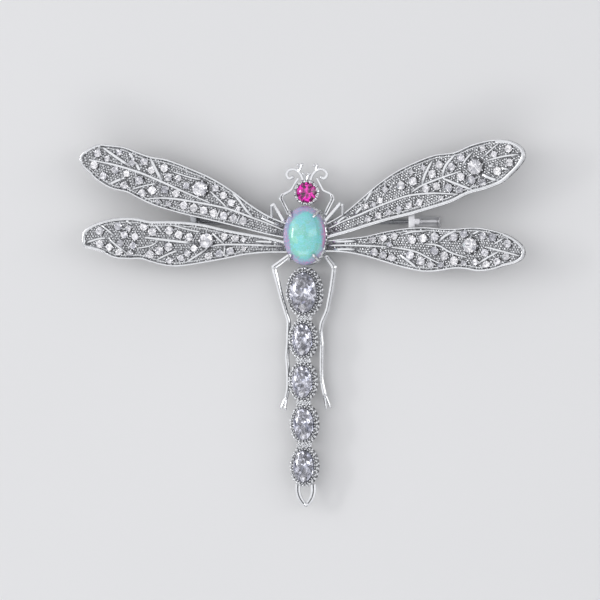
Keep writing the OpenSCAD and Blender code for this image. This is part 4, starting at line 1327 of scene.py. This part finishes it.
class BROOCH_OT_legs(bpy.types.Operator):
    """Bends the six grooved legs"""

    bl_idname = "brooch.legs"
    bl_label = "Legs"

    def execute(self, context):
        for k, word in enumerate(("left", "right")):
            for kind, radii in LEG_RADII.items():
                points = getattr(self, kind)(k)
                path, thick = self.with_knees(points, radii)
                ends = [(*points[0], radii[0] * 0.9, 0), (*points[-1], radii[len(points) - 1] * 0.95, 0)]
                if kind == "front":
                    parts = grooved(path[:FRONT_KNEE], thick[:FRONT_KNEE], context)
                    parts += banded(path[FRONT_KNEE - 1:], thick[FRONT_KNEE - 1:], context)
                elif kind == "mid":
                    parts = banded(path, thick, context)
                else:
                    parts = grooved(path[:-2], thick[:-2], context, (HIND_SECTION, CREASE_SHADE_SECTION))
                    parts.append(faced(self.fork(points), polished(context)))
                    ends.pop()
                parts.append(faced(copies(bead(), ends), polished(context)))
                finished("%s_leg_%s" % (kind, word), parts, "white_metal", "leg_%s_%s" % (kind, word))
        return {"FINISHED"}

    def with_knees(self, points, radii):
        """Points and radii with each bend rounded and a little thicker."""
        path = []
        thick = []
        last = len(points) - 1
        for i, p in enumerate(points):
            p = Vector(p)
            r = radii[i]
            if i in (0, last):
                path.append(tuple(p))
                thick.append(r)
                continue
            a = Vector(points[i - 1]) - p
            b = Vector(points[i + 1]) - p
            near = min(0.4, a.length * 0.3, b.length * 0.3)
            a.normalize()
            b.normalize()
            bend = 1 + 0.18 * min(1, a.cross(b).length * 1.3)
            path += [tuple(p + a * near), tuple(p + (a + b) * near * 0.2), tuple(p + b * near)]
            thick += [r, r * bend, r]
        return path, thick

    def front(self, k):
        z = HEAD_TOP - LEG_D * 0.8
        end = (FRONT_FOOT[k][0] * HEAD_R, HEAD_Y + FRONT_FOOT[k][1] * HEAD_R, z)
        return self.between(beside_basket(40, z), end, FRONT_KNEES[k], 1, k)

    def mid(self, k):
        wing = WINGS[k]
        foot = wing.matrix() @ Vector((*wing.point(MID_FOOT[k]), WING_FLOOR + WING_RELIEF + FOOT_D / 2 + GAP))
        start = beside_basket(27, foot.z + LEG_D / 3)
        return self.between(start, (abs(foot.x), foot.y, foot.z), MID_KNEES[k], -1, k)

    def between(self, start, end, shape, bend, k):
        """Points at shares along and aside of the way from start to end, at the start's height."""
        x, y, z = start
        wx = end[0] - x
        wy = end[1] - y
        knees = [(x + wx * a + wy * bend * b, y + wy * a - wx * bend * b, z) for a, b in shape]
        return [((2 * k - 1) * p[0], p[1], p[2]) for p in [start, *knees, end]]

    def hind(self, k):
        side = 2 * k - 1
        high = BASKET_Z[0] + LEG_D
        low = COLLET_H / 2 - LEG_D / 2 - GAP
        way = collet_y(3) + collet(3)[1]
        start = beside_basket(-38, high)
        points = [(side * start[0], start[1], high)]
        for i, (a, b) in enumerate(HIND_SHAPES[k]):
            q = abdomen_point(COLLET_BEND[2] + side * b / 100 * collet(2)[0], way * a / 100, low)
            z = high if i < 2 else (high + q.z) / 2 if i < 3 else q.z
            points.append((q.x, q.y, z))
        return points

    def fork(self, points):
        """Two prongs at a hind foot, spread from a knob."""
        knob = Vector(points[-2])
        end = Vector(points[-1])
        way = (end - knob).normalized()
        aside = Vector((-way.y, way.x, 0))
        prongs = []
        for spread in (-0.33, 0.3):
            tip = end + way * 0.35 + aside * spread
            line = (knob - way * 0.2, knob.lerp(tip, 0.3) + aside * spread * 0.3, tip)
            prongs.append([tuple(p) for p in line])
        piece = wire(prongs, [[0.22, 0.19, 0.16]] * 2)
        tips = copies(bead(), [(*knob, 0.33, 0)] + [(*line[-1], 0.23, 0) for line in prongs])
        return joined("fork", [piece, tips])


# Section of a collet's foot
FOOT_SECTION = [
    (0, 0), (0, 1.72), (0.5, 1.72), (0.42, 1.4), (0.42, 0.4), (0.5, 0.3), (0.5, 0.06), (0.44, 0),
]


class BROOCH_OT_abdomen(bpy.types.Operator):
    """Builds the five collets with their grained edges and outer balls, and the tail loop"""

    bl_idname = "brooch.abdomen"
    bl_label = "Abdomen setting"

    def execute(self, context):
        sizes = context.scene.brooch_body
        outer_r = sizes.bead / MM / 2
        grain_r = sizes.edge_grain / MM / 2
        inner_r = sizes.inner_bead / MM / 2
        top = COLLET_H
        shine = polished(context)
        parts = []
        for i, size in enumerate(STONE_SIZES):
            seat = (size[0] / 2 + GAP, size[1] / 2 + GAP)
            edge = COLLET_EDGES[i] - 0.12
            wall = [
                (0, 1.9), (0, top - 0.12), (0.08, top - 0.08), (edge - 0.24, top - 0.16),
                (edge - 0.18, top - 0.26), (edge - 0.2, top - 0.45), (edge * 0.4, top - 0.6),
                (edge * 0.4, 2.1), (edge * 0.8, 1.95), (edge * 0.9, 1.85), (edge * 0.9, 1.65),
                (edge * 0.8, 1.55), (-0.3, 1.55), (-0.3, 1.8),
            ]
            inner = grown(collet(i), -COLLET_FOOT - 0.5)
            here = [
                # The wall takes the dark cast finish, partly painted shade under the stone's edge.
                faced(moulding([raised(oval(seat), 0)], wall, closed=True), cast(context)),
                faced(moulding([raised(oval(inner), 0)], FOOT_SECTION, closed=True), shine),
            ]
            at = grown(collet(i), -outer_r)
            ring = around_oval(at, round(length_of(at) / (sizes.bead_pitch / MM)))
            here.append(faced(copies(bead(), [(x, y, top - 0.8, outer_r, 0) for x, y, _ in ring]), shine))
            stems = []
            for x, y, out in ring:
                inward = (x - 0.3 * cos(out), y - 0.3 * sin(out))
                stems.append([(*inward, top - 0.2), (x, y, top - 0.8), (*inward, 1.9)])
            here.append(faced(wire(stems, [[0.11, 0.15, 0.11]] * len(stems), sides=6), shine))
            spots = []
            # Each row of grains has its line, radius, pitch in radii, turn, lift, size, scatter and its rate.
            for at, r, pitch, turn, lift, share, scatter, rate in (
                (grown(seat, edge - grain_r), grain_r, 2.7, 0.5, -0.04, 1, 0.12, 5),
                (grown(seat, inner_r * 0.75), inner_r, 3, 0.5, 0.06, 1, 0.12, 3),
                (grown(seat, edge * 0.5), grain_r, 3.8, 0.2, 0.02, 0.66, 0.14, 4),
            ):
                row = around_oval(at, round(length_of(at) / (r * pitch)), turn)
                for k, (x, y, _) in enumerate(row):
                    spots.append((x, y, top + lift, r * (share + scatter * sin(rate * k)), 0))
            here.append(faced(copies(grain(), spots), shine))
            setting = joined("collet", here)
            setting.location = (COLLET_BEND[i], collet_y(i), 0)
            parts.append(applied(setting))
            if i:
                parts += self.saddle(i, grain_r, cast(context), shine)
        parts += self.tail(context)
        finished("abdomen_collets", parts, "white_metal", "abdomen_setting", abdomen_matrix())
        return {"FINISHED"}

    def saddle(self, i, grain_r, dark, shine):
        """Rows of grains that fill the notch between two collets, on bars between their walls; the bars take
        the dark cast finish, partly painted shade.
        """
        start = collet_y(i) + STONE_SIZES[i][1] / 2 + 0.45
        end = collet_y(i - 1) - STONE_SIZES[i - 1][1] / 2 - 0.45
        middle = (COLLET_BEND[i] + COLLET_BEND[i - 1]) / 2
        bars = [[(middle + x, start, 2.35), (middle + x, end, 2.35)] for x in (-0.6, -0.2, 0.2, 0.6)]
        grains = []
        for row in range(4):
            for step in range(6):
                x = middle + (step - 2.5) * 0.38 + 0.1 * sin(7 * row + i) + 0.19 * (row % 2)
                y = start + (end - start) * (0.12 + 0.25 * row)
                size = grain_r * (0.78 + 0.12 * sin(5 * step + 3 * row))
                grains.append((x, y, COLLET_H - 0.22, size, 0))
        return [faced(wire(bars, [[0.38, 0.38]] * 4), dark), faced(copies(grain(), grains), shine)]

    def tail(self, context):
        """Pointed loop of two parallel ridges with a ball at its end."""
        r = TAIL_D / 2
        top = collet_y(4) - collet(4)[1]
        x = STONE_SIZES[4][0] * 0.39
        z = COLLET_H - TAIL_D
        end = top - TAIL_REACH + r
        middle = COLLET_BEND[4] + STONE_SIZES[4][0] * 0.06
        half = [(-x, top + 0.5), (-x, top - TAIL_REACH * 0.25), (-x * 0.66, top - TAIL_REACH * 0.62)]
        line = smooth(half + [(0, end)] + [(-p[0], p[1]) for p in reversed(half)], 5)
        line = [(middle + p[0], p[1], z) for p in line]
        thick = [r * (0.95 + 0.3 * abs(p[0] - middle) / x) for p in line]
        ball = faced(copies(bead(3), [(middle, end, z, TAIL_D * 0.6, 0)]), polished(context))
        return grooved(line, thick, context) + [ball]


class BROOCH_OT_oval_stones(bpy.types.Operator):
    """Sets the five oval stones of the abdomen"""

    bl_idname = "brooch.oval_stones"
    bl_label = "Oval stones"

    def execute(self, context):
        seed = brilliant()
        for i, size in enumerate(STONE_SIZES):
            half = (size[0] / 2, size[1] / 2, size[0] / 2)
            stone = copied(seed, half, (COLLET_BEND[i], collet_y(i), COLLET_H))
            parts = [faced(stone, clear(context, "oval"))]
            node = "abdomen_stone_%d" % (i + 1)
            finished("oval_stone_%d" % (i + 1), parts, "clear_stone", node, abdomen_matrix(), smooth_angle=0)
        removed(seed)
        return {"FINISHED"}


class BROOCH_OT_fastening(bpy.types.Operator):
    """Softens and polishes the hinge, the pin and the catch, with the hinge and pin darkened as painted shade
    """

    bl_idname = "brooch.fastening"
    bl_label = "Pin and catch"

    def execute(self, context):
        metal = context.scene.brooch_metal
        # Painted shade: the hinge and pin take a dark metal for the shade under the wings.
        worn = finish_of("worn_metal", polished_metal, tuple(metal.worn), 0.2, 0.34)
        satin = finish_of("satin_metal", polished_metal, tuple(metal.satin), 0.4, 0.5)
        for node, name, body, finish, edge in (
            ("hinge_body", "hinge_ears", "frame", worn, 0.06), ("hinge_rivet", "rivet", "frame", worn, 0.05),
            ("pin_stem", "pin", "pin", worn, 0.05), ("catch_body", "catch_barrel", "frame", satin, 0.05),
            ("catch_sleeve", "turning_sleeve", "sleeve", satin, 0.03),
        ):
            fit(from_frame(name, node, finish, edge), "white_metal", body, node)
        return {"FINISHED"}


# Middle of the picture in millimetres, and the lights: way from there, distance, size and strength
TARGET = (-0.721, -9.665, 4.6)
LIGHTS = [
    ("top", (-0.26, 0.05, 0.97), 0.6, (0.36, 0.5), 0.36),
    ("key", (-0.72, 0.4, 0.55), 0.6, (0.2, 0.42), 1.2),
    ("strip", (-0.83, 0.127, 0.545), 0.6, (0.22, 0.08), 9),
    ("fill", (0.75, 0.15, 0.62), 0.6, (0.2, 0.5), 1.5),
    ("low", (-0.05, -0.8, 0.6), 0.6, (0.6, 0.16), 1.6),
]


class BROOCH_OT_stage(bpy.types.Operator):
    """Lays the pale floor, hangs the soft lights and sets the camera"""

    bl_idname = "brooch.stage"
    bl_label = "Stage"

    def execute(self, context):
        stage = context.scene.brooch_stage
        ready()
        bpy.ops.mesh.primitive_circle_add(vertices=96, radius=1.5, fill_type="NGON")
        finish = finish_of("pale_floor", pale_floor, tuple(stage.floor))
        floor = faced(joined("floor", [context.object]), finish)
        target = Vector(TARGET) * MM
        way = Vector((sin(stage.tilt), 0, cos(stage.tilt)))
        for name, aim, away, size, glow in LIGHTS:
            place = target + Vector(aim).normalized() * away
            ready()
            bpy.ops.object.light_add(type="AREA", location=place)
            light = context.object
            light.name = name
            light.data.shape = "RECTANGLE"
            light.data.size = size[0]
            light.data.size_y = size[1]
            light.data.energy = glow * pi * size[0] * size[1]
            light.rotation_euler = (target - place).to_track_quat("-Z", "Y").to_euler()
        world = bpy.data.worlds.new("studio")
        world.use_nodes = True
        sky = Nodes(world.node_tree)
        place = sky.node("ShaderNodeTexCoord", {}, {}, "Generated")
        height = sky.node("ShaderNodeSeparateXYZ", {}, {0: place}, "Z")
        toward = sky.node("ShaderNodeVectorMath", {"operation": "DOT_PRODUCT"}, {0: place, 1: way}, "Value")
        low, high = (cos(radians(stage.hole + half)) for half in (3, -3))
        wall = sky.between(height, sin(radians(6)), sin(radians(stage.band)))
        tent = sky.mix(wall, tuple(stage.dark), tuple(stage.tent))
        shade = sky.mix(sky.between(toward, low, high), tent, tuple(stage.dark))
        sky.feed(sky.tree.nodes["Background"].inputs["Color"], shade)
        context.scene.world = world
        context.scene.view_settings.view_transform = "Standard"
        ready()
        bpy.ops.object.camera_add(location=target + way * stage.distance)
        camera = context.object
        right = Vector((0, 1, 0)).cross(way).normalized()
        camera.matrix_world = Matrix.Translation(camera.location) @ Matrix(
            (right, way.cross(right), way)
        ).transposed().to_4x4()
        camera.data.sensor_width = 36
        camera.data.lens = stage.lens
        camera.data.clip_start = 0.01
        camera.data.dof.use_dof = False
        context.scene.camera = camera
        return {"FINISHED"}


OPERATORS = [
    BROOCH_OT_stage, BROOCH_OT_wings, BROOCH_OT_wing_stones, BROOCH_OT_thorax, BROOCH_OT_opal, BROOCH_OT_head,
    BROOCH_OT_head_stone, BROOCH_OT_legs, BROOCH_OT_abdomen, BROOCH_OT_oval_stones, BROOCH_OT_fastening,
]


class BROOCH_PT_pieces(bpy.types.Panel):
    """Lists the brooch's pieces with their settings"""

    bl_idname = "BROOCH_PT_pieces"
    bl_label = "Insect brooch"
    bl_space_type = "VIEW_3D"
    bl_region_type = "UI"
    bl_category = "Brooch"

    def draw(self, context):
        for name, kind in SETTINGS.items():
            box = self.layout.box()
            box.label(text=name.replace("_", " ").capitalize())
            for field in kind.__annotations__:
                box.prop(getattr(context.scene, name), field)
        for operator in OPERATORS:
            self.layout.operator(operator.bl_idname)


def register():
    for kind in [*SETTINGS.values(), *OPERATORS, BROOCH_PT_pieces]:
        bpy.utils.register_class(kind)
    for name, kind in SETTINGS.items():
        setattr(bpy.types.Scene, name, bpy.props.PointerProperty(type=kind))


def unregister():
    for name in SETTINGS:
        delattr(bpy.types.Scene, name)
    for kind in [BROOCH_PT_pieces, *reversed(OPERATORS), *SETTINGS.values()]:
        bpy.utils.unregister_class(kind)


def main():
    register()
    for operator in OPERATORS:
        group, name = operator.bl_idname.split(".")
        getattr(getattr(bpy.ops, group), name)()


if __name__ == "__main__":
    main()
